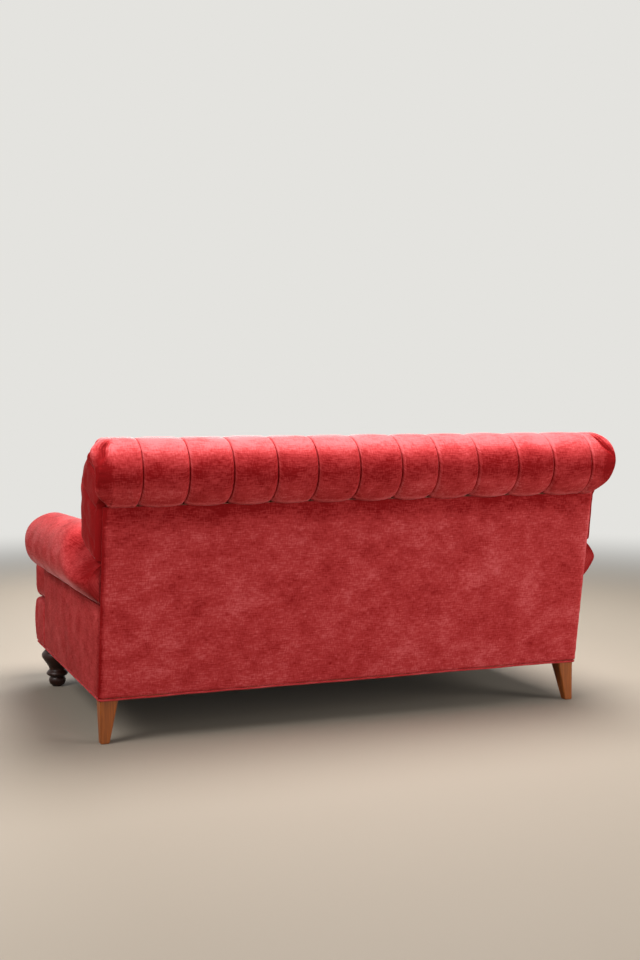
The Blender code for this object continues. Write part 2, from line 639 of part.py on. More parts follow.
def scroll_outline():
    """Points and outward normals of the scroll, from under its back round to its seam on the inside."""
    points, normals = [], []
    for angle in np.linspace(SCROLL_START, SHOULDER_START, 14):
        normal = np.array((math.cos(angle), math.sin(angle)))
        points.append(np.array((SCROLL_Y, SCROLL_Z)) + SCROLL_RADIUS * normal)
        normals.append(normal)
    for t in (0.25, 0.5, 0.75, 1.0):
        points.append(shoulder_curve(t))
        along = shoulder_curve(t) - shoulder_curve(t - 0.01)
        along /= np.linalg.norm(along)
        normals.append(np.array((along[1], -along[0])))
    return points, normals


def tuft_columns():
    return [(i - (TUFT_COUNT - 1) / 2) * TUFT_PITCH for i in range(TUFT_COUNT)]


def make_scroll():
    """The scroll: a C section round the scroll rail, drawn in at each pleat, with rounded ends."""
    points, normals = scroll_outline()
    end = BACK_X
    stations = {-end: -PANEL_CROWN, end: -PANEL_CROWN}
    for x in tuft_columns():
        stations[x] = -PLEAT_DEPTH
        stations[x - PLEAT_HALF_WIDTH] = -PANEL_CROWN
        stations[x + PLEAT_HALF_WIDTH] = -PANEL_CROWN
    for x in tuft_columns()[:-1]:
        stations[x + TUFT_PITCH / 2] = 0.0
    floor = points[0][1]
    inner = [(back_line(PAD_REAR, SCROLL_SEAM_HEIGHT), SCROLL_SEAM_HEIGHT)]
    inner += [(back_line(PAD_REAR, SCROLL_RAIL_TOP + GAP), SCROLL_RAIL_TOP + GAP)]
    inner += [(back_line(COVER, SCROLL_RAIL_TOP + GAP), SCROLL_RAIL_TOP + GAP)]
    inner += [(back_line(COVER, floor), floor)]
    rings = []
    for x in sorted(stations):
        ring = []
        for number, (point, normal) in enumerate(zip(points, normals)):
            fade = min(number / 2, 1.0)
            y, z = point + normal * stations[x] * fade
            ring.append((x, y, max(z, SCROLL_SEAM_HEIGHT) if number == len(points) - 1 else z))
        ring += [(x, y, z) for y, z in inner]
        rings.append(ring)
    scroll = loft("back_scroll", rings, VELVET)
    tip = HALF + SCROLL_OVERHANG
    for side, name in SIDES:
        radius = SCROLL_RADIUS - PANEL_CROWN - GAP
        profile = [(0.0, tip)]
        for turn in np.radians(np.linspace(75, 0, 5)):
            round_off = SCROLL_END_ROUND * math.sin(turn)
            rim = radius - SCROLL_END_ROUND * (1 - math.cos(turn))
            profile.append((rim, tip - SCROLL_END_ROUND + round_off))
        root = BACK_X - SCROLL_RAIL_INSET + 0.002
        profile += [(radius, root), (0.0, root)]
        centre = (0.0, SCROLL_Y, SCROLL_Z)
        plug = turned(f"scroll_end_{name}", profile, centre, None, 32, True, CUTTERS)
        if side < 0:
            plug.rotation_euler = (0.0, -math.pi / 2, 0.0)
        boolean(scroll, plug, "UNION")


def tuft_fullness(x, z):
    """0 on a fold or pleat and 1 in the middle of a diamond or panel."""
    column = x / TUFT_PITCH + TUFT_COUNT / 2 + 0.5
    row = min(max((TUFT_TOP_ROW - z) / TUFT_ROW_PITCH, 0.0), 2.0)
    one, two = (abs(math.sin(math.pi * (column + s * row / 2))) for s in (1, -1))
    return (one * two) ** 0.5


def face_line(z):
    """y of the inside back's face at height z, before tufting."""
    low = CUSHION_TOP - 0.02
    run = min(max((z - low) / (TUFT_TOP_ROW - low), 0.0), 1.0)
    run = run * run * (3 - 2 * run)
    return BACK_FACE_LOW + (BACK_FACE_TOP - BACK_FACE_LOW) * run


def make_inside_back():
    """The tufted pad: full height between the arms, and only above them where it passes over them."""
    top = SCROLL_SEAM_HEIGHT - GAP
    bottom = SEAT_EDGE_HEIGHT + GAP
    rows = list(np.arange(9) * TUFT_ROW_PITCH / 4 + TUFT_TOP_ROW - 2 * TUFT_ROW_PITCH)
    levels = [bottom, 0.5 * (bottom + rows[0]), 0.25 * bottom + 0.75 * rows[0]] + rows + [top]
    over_arm = ARM_HEIGHT + ARM_RISE + WING_FLOOR
    quarter = TUFT_PITCH / 4
    count = int((BACK_X - quarter / 2) / quarter)
    step = ARM_INNER - GAP
    columns = {i * quarter for i in range(-count, count + 1)}
    columns = {x for x in columns if abs(abs(x) - step) > quarter / 4}
    columns |= {-BACK_X, BACK_X, -step, step, COVER / 2 - step, step - COVER / 2}

    def face(x, z):
        edge_fade = min((BACK_X - abs(x)) / quarter, 1.0)
        low_fade = min(max((z - bottom) / (rows[0] - bottom), 0.0), 1.0)
        top_fade = 1.0 if z < rows[-1] + GAP else PLEAT_DEPTH / TUFT_DEPTH
        fall = TUFT_DEPTH * (1 - tuft_fullness(x, z)) * edge_fade * low_fade * top_fade
        return (x, face_line(z) + fall, z)

    rings = []
    for x in sorted(columns):
        if abs(x) < step - GAP:
            ring = [face(x, z) for z in levels] + [(x, back_line(PAD_REAR, z), z) for z in (top, bottom)]
        else:
            high = [z for z in levels if z > over_arm + GAP]
            rear = np.array((x, back_line(PAD_REAR, over_arm), over_arm))
            low_run = np.array(face(x, over_arm)) - rear
            parts = len(levels) - len(high)
            under = [rear + low_run * (i + 1) / parts for i in range(parts)]
            ring = under + [face(x, z) for z in high] + [(x, back_line(PAD_REAR, top), top), rear]
        rings.append(ring)
    loft("inside_back", rings, VELVET)


def make_outside_back():
    top = BACK_TOP - BACK_TOP_DROP
    outline = [(back_line(0, z), z) for z in (SKIRT, top)]
    outline += [(back_line(COVER, z), z) for z in (top, SKIRT)]
    prism("outside_back", outline, -HALF, HALF, VELVET)


def make_wings():
    """The side of the back above the arm, cut round the end of the scroll."""
    rear = COVER + GAP
    radius = SCROLL_RADIUS
    outline = []
    for angle in np.linspace(SCROLL_START, SHOULDER_START - 2 * math.pi, 14):
        outline.append((SCROLL_Y + radius * math.cos(angle), SCROLL_Z + radius * math.sin(angle)))
    outline += [tuple(shoulder_curve(t)) for t in (0.2, 0.4, 0.6, 0.8, 1.0)]
    floor_front = ARM_HEIGHT + ARM_RISE + WING_FLOOR
    outline.append((BACK_FACE_TOP, 0.5 * (SCROLL_SEAM_HEIGHT + floor_front)))
    outline.append((BACK_FACE_TOP + 0.004, floor_front))
    for to_back in np.array((1.0, 0.75, 0.5, 0.25, 0.12)) * ARM_TAIL:
        height = tail_shape(to_back)[1]
        z = CREASE_HEIGHT + (ARM_HEIGHT + ARM_RISE - CREASE_HEIGHT) * height + WING_FLOOR
        outline.append((back_line(to_back * math.cos(BACK_RAKE), z), z))
    z = outline[-1][1] - 0.006
    outline.append((back_line(rear, z), z))
    top = BACK_TOP - BACK_TOP_DROP
    outline.append((back_line(rear, top), top))
    for side, name in SIDES:
        prism(f"wing_{name}", outline, *mirrored_x(BACK_X + GAP, HALF + WING_SWELL, side), VELVET)


def cushion_outline(inset):
    """Plan of the left cushion, counter-clockwise, sides drawn in between rounded corners."""
    inner = CUSHION_CLEARANCE / 2 + inset
    arm = ARM_INNER - CUSHION_CLEARANCE - inset
    ear = HALF - COVER / 2 - inset
    front = Y_FRONT - CUSHION_OVERHANG + inset
    ear_rear = ARM_FRONT - CUSHION_CLEARANCE - inset
    rear = BACK_FACE_LOW - CUSHION_CLEARANCE - inset
    corners = ((inner, front), (ear, front), (ear, ear_rear), (arm, ear_rear), (arm, rear), (inner, rear))
    radii = (0.6, 1.0, 0.8, 0.15, 1.0, 0.6)
    corners = [np.array(corner) for corner in corners]
    points = []
    for i, (corner, share) in enumerate(zip(corners, radii)):
        before, after = corners[i - 1], corners[(i + 1) % len(corners)]
        back = (before - corner) / np.linalg.norm(before - corner)
        ahead = (after - corner) / np.linalg.norm(after - corner)
        radius = CUSHION_CORNER * share
        for t in (0.0, 0.5, 1.0):
            points.append(corner + back * radius * (1 - t) ** 2 + ahead * radius * t**2)
        length = np.linalg.norm(after - corner)
        normal = np.array((-ahead[1], ahead[0]))
        for t in (0.3, 0.5, 0.7):
            if length > 0.3:
                waist = CUSHION_WAIST * math.sin(math.pi * t)
                points.append(corner + ahead * length * t + normal * waist)
    return np.array(points)


def edge_distance(points, outline):
    """Shortest distance from each point to the closed outline."""
    starts, ends = outline, np.roll(outline, -1, axis=0)
    run = ends - starts
    offset = points[:, None] - starts[None]
    t = np.clip((offset * run).sum(2) / (run * run).sum(1), 0, 1)
    return np.linalg.norm(offset - t[..., None] * run, axis=2).min(1)


def make_cushions():
    """Boxed T cushions: crowned on top, rounded into their sides, flat underneath."""
    bottom = SEAT_EDGE_HEIGHT + GAP
    outline = cushion_outline(0.0)
    heart = np.array((0.5 * ARM_INNER, Y_FRONT + 0.5 * ARM_SETBACK))
    shoulder = CUSHION_THICKNESS - CUSHION_EDGE
    levels = ((0.022, 0.0), (0.005, 0.012), (0.0, 0.058))
    levels += ((0.002, shoulder - 0.023), (CUSHION_EDGE, shoulder))
    plan = [[(*point, bottom + z) for point in cushion_outline(inset)] for inset, z in levels]
    for share in (0.9, 0.72, 0.5, 0.25):
        points = heart + (cushion_outline(CUSHION_EDGE) - heart) * share
        rise = 1 - np.exp(-edge_distance(points, outline) / 0.10)
        heights = bottom + shoulder + (CUSHION_CROWN + CUSHION_EDGE) * rise
        plan.append([(*point, z) for point, z in zip(points, heights)])
    for side, name in SIDES:
        rings = np.array(plan) * (side, 1, 1)
        loft(f"seat_cushion_{name}", rings, VELVET)


VELVET = ("red_velvet", (0.52, 0.035, 0.05), 0.85)
DECK_CLOTH = ("deck_cloth", (0.35, 0.03, 0.04), 0.9)
CAMBRIC = ("black_cambric", (0.02, 0.02, 0.02), 0.95)
WEBBING = ("jute_webbing", (0.45, 0.33, 0.18), 0.95)
BEECH = ("beech", (0.62, 0.42, 0.24), 0.6)
DARK_WOOD = ("dark_stained_beech", (0.035, 0.02, 0.014), 0.35)
WALNUT = ("red_brown_walnut", (0.30, 0.11, 0.045), 0.4)
STEEL = ("spring_steel", (0.45, 0.45, 0.46), 0.35, 1.0)

clear_scene()
PARTS = new_collection("settee")
CUTTERS = new_collection("cutters")

make_seat_frame(make_dust_cover())
make_springs()
make_back_frame()
make_base_cover()
make_arms()
make_scroll()
make_inside_back()
make_outside_back()
make_wings()
make_cushions()
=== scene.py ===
"""Looks of a settee with a pleated scroll back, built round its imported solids.

Metres, +Z up, the sitter faces -Y and +X is at the sitter's left, as in the solids.
"""

import math
from functools import cache

import bpy
import numpy as np
from bpy.props import FloatProperty, FloatVectorProperty, IntProperty, PointerProperty
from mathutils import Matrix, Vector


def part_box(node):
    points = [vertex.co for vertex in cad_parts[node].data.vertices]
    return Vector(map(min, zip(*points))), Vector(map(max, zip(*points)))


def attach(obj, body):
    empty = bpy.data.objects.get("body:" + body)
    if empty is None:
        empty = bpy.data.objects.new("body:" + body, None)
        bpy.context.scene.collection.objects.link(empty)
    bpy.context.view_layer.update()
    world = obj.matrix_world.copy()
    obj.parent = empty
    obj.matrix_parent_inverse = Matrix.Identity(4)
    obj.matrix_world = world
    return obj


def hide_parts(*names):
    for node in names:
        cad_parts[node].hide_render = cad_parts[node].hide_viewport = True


bl_info = {
    "name": "Scroll Back Settee",
    "version": (1, 0, 0),
    "blender": (4, 5, 0),
    "location": "View3D > Sidebar > Settee",
    "description": "Velvet cover, cushions, legs and stage of a pleated scroll-back settee",
    "category": "Object",
}

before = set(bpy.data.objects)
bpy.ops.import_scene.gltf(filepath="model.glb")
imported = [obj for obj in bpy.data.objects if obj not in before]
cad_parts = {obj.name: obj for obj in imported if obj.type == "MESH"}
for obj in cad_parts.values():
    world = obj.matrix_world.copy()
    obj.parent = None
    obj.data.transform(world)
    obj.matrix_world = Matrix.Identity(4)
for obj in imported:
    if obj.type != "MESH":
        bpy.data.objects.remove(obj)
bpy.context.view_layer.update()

# Places of the solids
GAP = 0.0003  # between pieces that touch
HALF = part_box("outside_back")[1].x
FRONT = -0.62045  # front edge of the base
REAR = 0.46255  # foot of the outside back
LEG_HEIGHT = 0.130
SKIRT = 0.1369  # foot of the cover, on the welt
RAIL_TOP = 0.2303
DECK_FOOT = 0.2352  # underside of the deck and of the border's ledge
LEAN = math.radians(9.1)  # of the back, from upright
RAKE = math.tan(LEAN)
COVER = 0.010  # cover with its wadding
BACK_X = 0.800  # side of the inside back and of the scroll's long part
SCROLL = np.array((0.53640, 0.810))  # y and z of the scroll's middle
SCROLL_RADIUS = 0.100
SCROLL_START = math.radians(-79)  # where the scroll's cover starts under its back, from level
SHOULDER_START = math.radians(115)
SCROLL_FOOT = 0.7995  # underside of the scroll's padding, inside the back
BACK_EDGE = 0.7112  # top of the outside back, under the scroll
CROSS_FRONT = 0.4585  # y at which the wing's edge starts across the end of the scroll
CROSS_REAR = 0.6204  # and y at which it leaves it
PAD_REAR = 0.0866  # rear of the inside back's padding, inside the outside back
SEAM = 0.735  # scroll's lower edge on the inside back
FACE_TOP = 0.30195  # y of the inside back at its top row of buttons
FACE_LOW = 0.21955  # and at the seat
TOP_ROW = 0.700  # height of the top row of buttons
PITCH = 0.134  # from button to button
ROW = 0.100  # from row to row
ARM = np.array((0.787, 0.520))  # x and z of the arm roll's middle, at its front
ARM_RADIUS = 0.100
ARM_INNER = 0.687
ARM_FRONT = -0.42045
ARM_RISE = 0.016  # the roll's top climbs this much towards the back
ARM_TOP = 0.620
ARM_TAIL = 0.150  # length over which the roll dies into the back corner
INSIDE_ARM = 0.034  # thickness of the inside arm
CREASE = 0.418  # where the roll meets the outside arm
SEAT_EDGE = 0.295
BORDER = 0.045  # depth of the front border
CORNER = 0.050
CUSHION = 0.160

# Shared sizes of the covers
HEM = 0.006  # radius of a cover's lower edge
DEEPEST = COVER - 0.001  # deepest that a turned edge falls
PANEL_CREASE = 60  # degrees at which a panel's edge is sharp

# x of the pleats behind, as they stand in the photograph
PLEATS = (-0.761, -0.621, -0.492, -0.350, -0.211, -0.088, 0.047, 0.183, 0.310, 0.445, 0.578, 0.716)
SIDES = ((1, "left"), (-1, "right"))
BODY = "frame"


class SetteeSizes(bpy.types.PropertyGroup):
    """Sizes of the cover that a user would change."""

    pleat_depth: FloatProperty(name="Pleat depth", description="Depth of a pleat's fold in the scroll",
                               default=0.0115, min=0.0, unit="LENGTH", subtype="DISTANCE")
    panel_puff: FloatProperty(name="Panel puff", description="How far the scroll swells between two pleats",
                              default=0.0035, min=0.0, unit="LENGTH", subtype="DISTANCE")
    tuft_depth: FloatProperty(name="Tuft depth", description="Depth of the inside back at a button",
                              default=0.034, min=0.0, unit="LENGTH", subtype="DISTANCE")
    button_radius: FloatProperty(name="Button radius", description="Radius of a covered button",
                                 default=0.013, min=0.001, unit="LENGTH", subtype="DISTANCE")
    panel_edge: FloatProperty(name="Panel edge", description="Width of the outside back's turned edge",
                              default=0.018, min=0.001, unit="LENGTH", subtype="DISTANCE")
    arm_edge: FloatProperty(name="Arm edge", description="Radius of the padded edge round the arm's front",
                            default=0.030, min=0.001, unit="LENGTH", subtype="DISTANCE")
    border_swell: FloatProperty(name="Border swell", description="How far the front border swells",
                                default=0.016, min=0.0, unit="LENGTH", subtype="DISTANCE")
    welt_radius: FloatProperty(name="Welt radius", description="Radius of the piping",
                               default=0.0036, min=0.001, unit="LENGTH", subtype="DISTANCE")
    gathers: IntProperty(name="Gathers", description="Small folds round each end of the scroll",
                         default=26, min=4)


class SetteeColours(bpy.types.PropertyGroup):
    """Colours of the cover, the woods and the stage."""


def rgb(code):
    """Linear colour of an sRGB hex value: each channel c is c / 12.92 or ((c + 0.055) / 1.055) ** 2.4."""
    channels = [int(code[i:i + 2], 16) / 255 for i in (0, 2, 4)]
    linear = [c / 12.92 if c <= 0.04045 else ((c + 0.055) / 1.055) ** 2.4 for c in channels]
    return (*linear, 1.0)


# velvet_dark_and_painted_shade and velvet_pale_and_painted_highlight are the two ends of the velvet's colour
# ramp. They give the cloth's darker and paler random tones, and also the painted shade and painted highlights
# that each piece's painted light adds.
COLOURS = {
    "velvet": ("Velvet", "ab3536", "Red velvet where the nap lies flat"),
    "velvet_dark_and_painted_shade": ("Velvet, against the nap", "7f1315", "Red velvet where the nap stands up"),
    "velvet_pale_and_painted_highlight": ("Velvet, brushed", "cc5c5e", "Red velvet where the nap is brushed towards the light"),
    "velvet_sheen": ("Velvet sheen", "ffbcb8", "Light on the tips of the pile"),
    "dark_wood": ("Dark wood", "32150c", "Stained beech of the front legs"),
    "dark_grain": ("Dark grain", "1b0a06", "Grain of the front legs"),
    "walnut": ("Walnut", "96501c", "Oiled walnut of the rear legs"),
    "walnut_grain": ("Walnut grain", "6b3516", "Grain of the rear legs"),
    "beech": ("Beech", "c79a68", "Bare timber of the frame"),
    "beech_grain": ("Beech grain", "a97a4c", "Grain of the frame"),
    "cambric": ("Cambric", "1c1b1c", "Black dust cover"),
    "jute": ("Jute", "a5835a", "Webs of the back"),
    "deck": ("Deck cloth", "7c2226", "Cloth under the cushions"),
    "steel": ("Steel", "8c8c90", "Springs and bolts"),
    "oiled_steel": ("Oiled steel", "6d6c6e", "Springs and bolts under a film of oil"),
    "floor": ("Floor", "8c8173", "Plain floor"),
    "far_floor": ("Far floor", "4a4640", "Floor and wall far off, as the object's light meets them"),
    "backdrop": ("Backdrop", "e4e3df", "Plain backdrop, as the eye sees it"),
    "daylight": ("Daylight", "f4f4f6", "Light from all round"),
}
for key, (label, code, words) in COLOURS.items():
    SetteeColours.__annotations__[key] = FloatVectorProperty(
        name=label, description=words, default=rgb(code), size=4, min=0.0, max=1.0, subtype="COLOR")


def sizes():
    return bpy.context.scene.settee_sizes


def colour(key):
    return tuple(getattr(bpy.context.scene.settee_colours, key))


def back_plane(z, inset=0.0):
    """y of the plane that lies inset in from the outside back, leaning back by the rake."""
    return REAR + RAKE * (z - LEG_HEIGHT) - inset / math.cos(LEAN)


def rounded(distance, radius):
    """How far a rim falls at this distance from its edge: radius - sqrt(radius^2 - (radius - distance)^2)."""
    short = np.clip(radius - distance, 0.0, radius)
    return radius - np.sqrt(radius**2 - short**2)


def spread(low, high, count, rim, close=7):
    """Places from low to high, closer together within rim of each end, as rim * (1 - cos t)."""
    near = rim * (1 - np.cos(np.linspace(0, math.pi / 2, close)))[:-1]
    return np.concatenate([low + near, np.linspace(low + rim, high - rim, count), (high - near)[::-1]])


def waves(u, v, length, seed, count=8):
    """Smooth unevenness of about -1 to 1: a sum of sines in random directions, each about this long."""
    random = np.random.default_rng(seed)
    total = 0.0
    for turn, stretch, phase in zip(*random.uniform((0, 0.7, 0), (math.tau, 1.6, math.tau), (count, 3)).T):
        along = u * math.cos(turn) + v * math.sin(turn)
        total = total + np.sin(math.tau * along / (length * stretch) + phase)
    return total / math.sqrt(count)


def smooth(low, high, value):
    """0 below low, 1 above high, and 3t^2 - 2t^3 between."""
    t = np.clip((value - low) / (high - low), 0.0, 1.0)
    return t * t * (3 - 2 * t)


def bell(distance, width):
    """1 in the middle, falling off on both sides as exp(-(distance / width)^2)."""
    return np.exp(-((distance / width) ** 2))


def through(places, values, want):
    """Smooth curve through points: cubic Hermite pieces, with the mean slope of both sides at each point."""
    places, values = np.asarray(places, float), np.asarray(values, float)
    slope = np.gradient(values, places)
    k = np.clip(np.searchsorted(places, want, side="right") - 1, 0, len(places) - 2)
    gap = places[k + 1] - places[k]
    t = (want - places[k]) / gap
    rise = 3 * t**2 - 2 * t**3
    return (values[k] * (1 - rise) + values[k + 1] * rise
            + gap * (slope[k] * (t**3 - 2 * t**2 + t) + slope[k + 1] * (t**3 - t**2)))


def stack(*coordinates):
    """x, y and z arrays, stretched to one shape, as points."""
    return np.stack(np.broadcast_arrays(*coordinates), -1)


def turn_outwards(points, quads, triangles):
    """The same faces, turned round if the volume that they enclose comes out negative."""
    split = np.vstack([quads[:, [0, 1, 2]], quads[:, [0, 2, 3]], triangles])
    a, b, c = (points[split[:, k]] for k in range(3))
    if (a * np.cross(b, c)).sum() < 0:
        quads, triangles = quads[:, ::-1], triangles[:, ::-1]
    return quads, triangles


def place_piece(name, data, weave):
    """An object at the origin. Its weave attribute holds metres along the weft and the warp, and the painted
    light and shade.
    """
    attribute = data.attributes.new("weave", "FLOAT_VECTOR", "POINT")
    attribute.data.foreach_set("vector", np.asarray(weave, np.float32).ravel())
    data.shade_smooth()
    obj = bpy.data.objects.new(name, data)
    bpy.context.scene.collection.objects.link(obj)
    return obj


def new_piece(name, points, quads, triangles, weave, crease=None):
    """A piece of these faces, turned outwards."""
    data = bpy.data.meshes.new(name)
    quads, triangles = turn_outwards(points, quads, triangles)
    data.from_pydata(points.tolist(), [], quads.tolist() + triangles.tolist())
    obj = place_piece(name, data, weave)
    if crease:
        data.set_sharp_from_angle(angle=math.radians(crease))
    return obj


def grid_quads(m, n, loop=False):
    """Faces over m rings of n points: point (i, j) joins (i, j + 1) and (i + 1, j), the last point of a ring
    joins its first and, with loop, the last ring joins the first."""
    i, j = (a.ravel() for a in np.meshgrid(np.arange(m if loop else m - 1), np.arange(n), indexing="ij"))
    i_next, j_next = (i + 1) % m, (j + 1) % n
    return np.stack([i * n + j, i * n + j_next, i_next * n + j_next, i_next * n + j], -1)


def skin(name, rings, crease=None, loop=False, weft=None, warp=None, painted_light=0.0):
    """Closed skin over rings of equal counts. Each end ring is drawn together at its middle, or the last ring
    joins the first. Unless they are given, warp is the length round the ring and weft the length from ring to
    ring. The painted light, above 0, paints light on the cloth, and below 0 it paints shade."""
    rings = np.asarray(rings, float)
    m, n = rings.shape[:2]
    points = rings.reshape(-1, 3)
    if warp is None:
        warp = np.cumsum(np.linalg.norm(np.diff(rings, axis=1, prepend=rings[:, :1]), axis=2), axis=1)
    if weft is None:
        weft = np.cumsum(np.linalg.norm(np.diff(rings, axis=0, prepend=rings[:1]), axis=2), axis=0)
    weave = stack(weft, warp, painted_light).reshape(-1, 3)
    triangles = np.zeros((0, 3), int)
    if not loop:
        points = np.vstack([points, rings[0].mean(0), rings[-1].mean(0)])
        weave = np.vstack([weave, weave[0], weave[-1]])
        around, ahead = np.arange(n), (np.arange(n) + 1) % n
        first = np.stack([ahead, around, np.full(n, m * n)], -1)
        last_ring = (m - 1) * n
        last = np.stack([around + last_ring, ahead + last_ring, np.full(n, m * n + 1)], -1)
        triangles = np.vstack([first, last])
    return new_piece(name, points, grid_quads(m, n, loop), triangles, weave, crease)


def panel(name, outer, inner, painted_light=0.0, **weave):
    """Closed panel: rings go up its outer face, which has the painted light and shade, and down its inner
    one.
    """
    rings = np.concatenate([outer, inner[:, ::-1]], axis=1)
    painted_light = np.concatenate([painted_light + np.zeros(outer.shape[:2]), np.zeros(inner.shape[:2])], axis=1)
    return skin(name, rings, PANEL_CREASE, painted_light=painted_light, **weave)


def walked(curve):
    """Length along a curve up to each of its points."""
    return np.concatenate([[0.0], np.cumsum(np.linalg.norm(np.diff(curve, axis=0), axis=1))])


def evenly(curve, count, closed=False):
    """Points at even steps along a plane curve, and the lengths at which they lie."""
    if closed:
        curve = np.vstack([curve, curve[:1]])
    run = walked(curve)
    want = np.linspace(0, run[-1], count, endpoint=not closed)
    return np.stack([np.interp(want, run, curve[:, k]) for k in (0, 1)], 1), want


def dress(obj, material, nodes=(), body=BODY):
    """Give a piece its material, body, finish slot and the solids that it stands for."""
    obj.data.materials.append(material)
    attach(obj, body)
    if nodes:
        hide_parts(*nodes)


def upholster(obj, nodes, body=BODY):
    """Cover a padded piece in the velvet."""
    dress(obj, velvet_material(), nodes, body)


def feed(tree, node, sockets):
    """Set or link a node's inputs by name or number."""
    for name, value in sockets.items():
        if isinstance(value, bpy.types.NodeSocket):
            tree.links.new(value, node.inputs[name])
        else:
            node.inputs[name].default_value = value


def add(tree, kind, sockets=None, stops=None, **settings):
    """Add a node, set its properties, feed its inputs, and give a colour ramp its (place, colour) stops."""
    made = tree.nodes.new("ShaderNode" + kind)
    for name, value in settings.items():
        setattr(made, name, value)
    feed(tree, made, sockets or {})
    if stops:
        elements = made.color_ramp.elements
        while len(elements) < len(stops):
            elements.new(0.5)
        for element, (place, shade) in zip(elements, stops):
            element.position, element.color = place, shade
    return made


def finish(node, material):
    """Give one of the solids its finish."""
    node.data.materials.clear()
    node.data.materials.append(material)


def new_material(name):
    """A material with only its Principled shader and output."""
    material = bpy.data.materials.new(name)
    material.use_nodes = True
    return material, material.node_tree, material.node_tree.nodes["Principled BSDF"]


def pattern(tree, vector, size, detail=2.0, rough=0.5, stretch=(1, 1, 1)):
    """Uneven pattern whose features are about size metres, divided by stretch along each axis."""
    scaled = add(tree, "VectorMath", {0: vector, 1: tuple(s / size for s in stretch)}, operation="MULTIPLY")
    sockets = {"Vector": scaled.outputs[0], "Scale": 1.0, "Detail": detail, "Roughness": rough}
    return add(tree, "TexNoise", sockets).outputs["Fac"]


@cache
def velvet_material():
    """Cotton velvet, piece dyed. The pile gives a matt, deep colour, a pale bloom where it is seen edge on,
    cloudy patches where it lies another way, and short slubs along the weft. Each piece's painted light and
    shade moves the colour towards the pale or the dark end."""
    material, tree, shader = new_material("red_cotton_velvet")
    weave = add(tree, "Attribute", attribute_name="weave").outputs["Vector"]
    painted_light = add(tree, "SeparateXYZ", {0: weave}).outputs["Z"]
    cloth = add(tree, "VectorMath", {0: weave, 1: (1.0, 1.0, 0.0)}, operation="MULTIPLY").outputs[0]
    # Slubs are 1 mm threads, 10 mm long; they are drawn 4 mm wide, or they would not show.
    slub = pattern(tree, cloth, 0.0042, 2.5, 0.6, (0.17, 1, 1))
    cross = pattern(tree, cloth, 0.0040, 1.5, 0.5, (1, 0.3, 1))
    cloud = pattern(tree, cloth, 0.050, 4.0, 0.65, (0.7, 1, 1))
    sweep = pattern(tree, cloth, 0.19)
    pile = pattern(tree, cloth, 0.0025, 2.0, 0.6)
    fine = add(tree, "Mix", {"Factor": 0.4, "A": slub, "B": cross}).outputs[0]
    broad = add(tree, "Mix", {"Factor": 0.4, "A": cloud, "B": sweep}).outputs[0]
    both = add(tree, "Mix", {"Factor": 0.5, "A": broad, "B": fine}).outputs[0]
    marks = add(tree, "MapRange", {0: both, 1: 0.345, 2: 0.655}).outputs[0]
    # Painted light and shade from the weave attribute moves the colour along the ramp.
    value = add(tree, "Math", {0: marks, 1: painted_light}, operation="ADD").outputs[0]
    height = add(tree, "Mix", {"Factor": 0.4, "A": fine, "B": pile}).outputs[0]
    stops = ((0.0, colour("velvet_dark_and_painted_shade")), (0.5, colour("velvet")), (1.0, colour("velvet_pale_and_painted_highlight")))
    feed(tree, shader, {
        "Base Color": add(tree, "ValToRGB", {0: value}, stops).outputs[0],
        "Roughness": add(tree, "MapRange", {0: value, 3: 0.64, 4: 0.52}).outputs[0],
        "Normal": add(tree, "Bump", {"Strength": 0.4, "Distance": 0.0015, "Height": height}).outputs[0],
        "Specular IOR Level": 0.02,
        "Specular Tint": colour("velvet_sheen"),
        "Sheen Weight": 0.30,
        "Sheen Roughness": 0.20,
        "Sheen Tint": colour("velvet_sheen"),
    })
    return material


@cache
def wood_material(name, light, dark, size, roughness, coat):
    """Turned or planed wood: long grain up the piece, with fine dark pores, under oil or varnish."""
    material, tree, shader = new_material(name)
    where = add(tree, "TexCoord").outputs["Object"]
    grain = pattern(tree, where, size, 3.0, 0.6, (1, 1, 0.06))
    rings = pattern(tree, where, size * 5, 1.0, 0.5, (1, 1, 0.05))
    pores = pattern(tree, where, 0.0015, 1.0, 0.5, (1, 1, 0.05))
    figure = add(tree, "Mix", {"Factor": 0.45, "A": grain, "B": rings}).outputs[0]
    height = add(tree, "Mix", {"Factor": 0.5, "A": grain, "B": pores}).outputs[0]
    stops = ((0.34, colour(dark)), (0.62, colour(light)))
    feed(tree, shader, {
        "Base Color": add(tree, "ValToRGB", {0: figure}, stops).outputs[0],
        "Roughness": add(tree, "MapRange", {0: grain, 3: roughness - 0.06, 4: roughness + 0.1}).outputs[0],
        "Normal": add(tree, "Bump", {"Strength": 0.3, "Distance": 0.0004, "Height": height}).outputs[0],
        "Specular IOR Level": 0.25,
        "Coat Weight": coat,
        "Coat Roughness": 0.25,
    })
    return material


@cache
def cloth_material(name, key, thread, contrast, roughness):
    """Plain woven cloth: threads over and under each other, as two sets of bands, with uneven yarn."""
    material, tree, shader = new_material(name)
    where = add(tree, "TexCoord").outputs["Object"]
    bands = {"Vector": where, "Scale": math.tau / 20 / thread, "Distortion": 0.6, "Detail": 1.0}
    warp, weft = (add(tree, "TexWave", bands, bands_direction=axis).outputs["Fac"] for axis in "XY")
    weave = add(tree, "Math", {0: warp, 1: weft}, operation="MULTIPLY").outputs[0]
    yarn = pattern(tree, where, thread * 6)
    value = add(tree, "Mix", {"Factor": 0.5, "A": weave, "B": yarn}).outputs[0]
    base = colour(key)
    low = (*(c * (1 - contrast) for c in base[:3]), 1.0)
    high = (*(min(c * (1 + contrast), 1.0) for c in base[:3]), 1.0)
    feed(tree, shader, {
        "Base Color": add(tree, "ValToRGB", {0: value}, ((0.2, low), (0.5, base), (0.8, high))).outputs[0],
        "Roughness": roughness,
        "Normal": add(tree, "Bump", {"Strength": 0.5, "Distance": thread / 4, "Height": value}).outputs[0],
    })
    return material


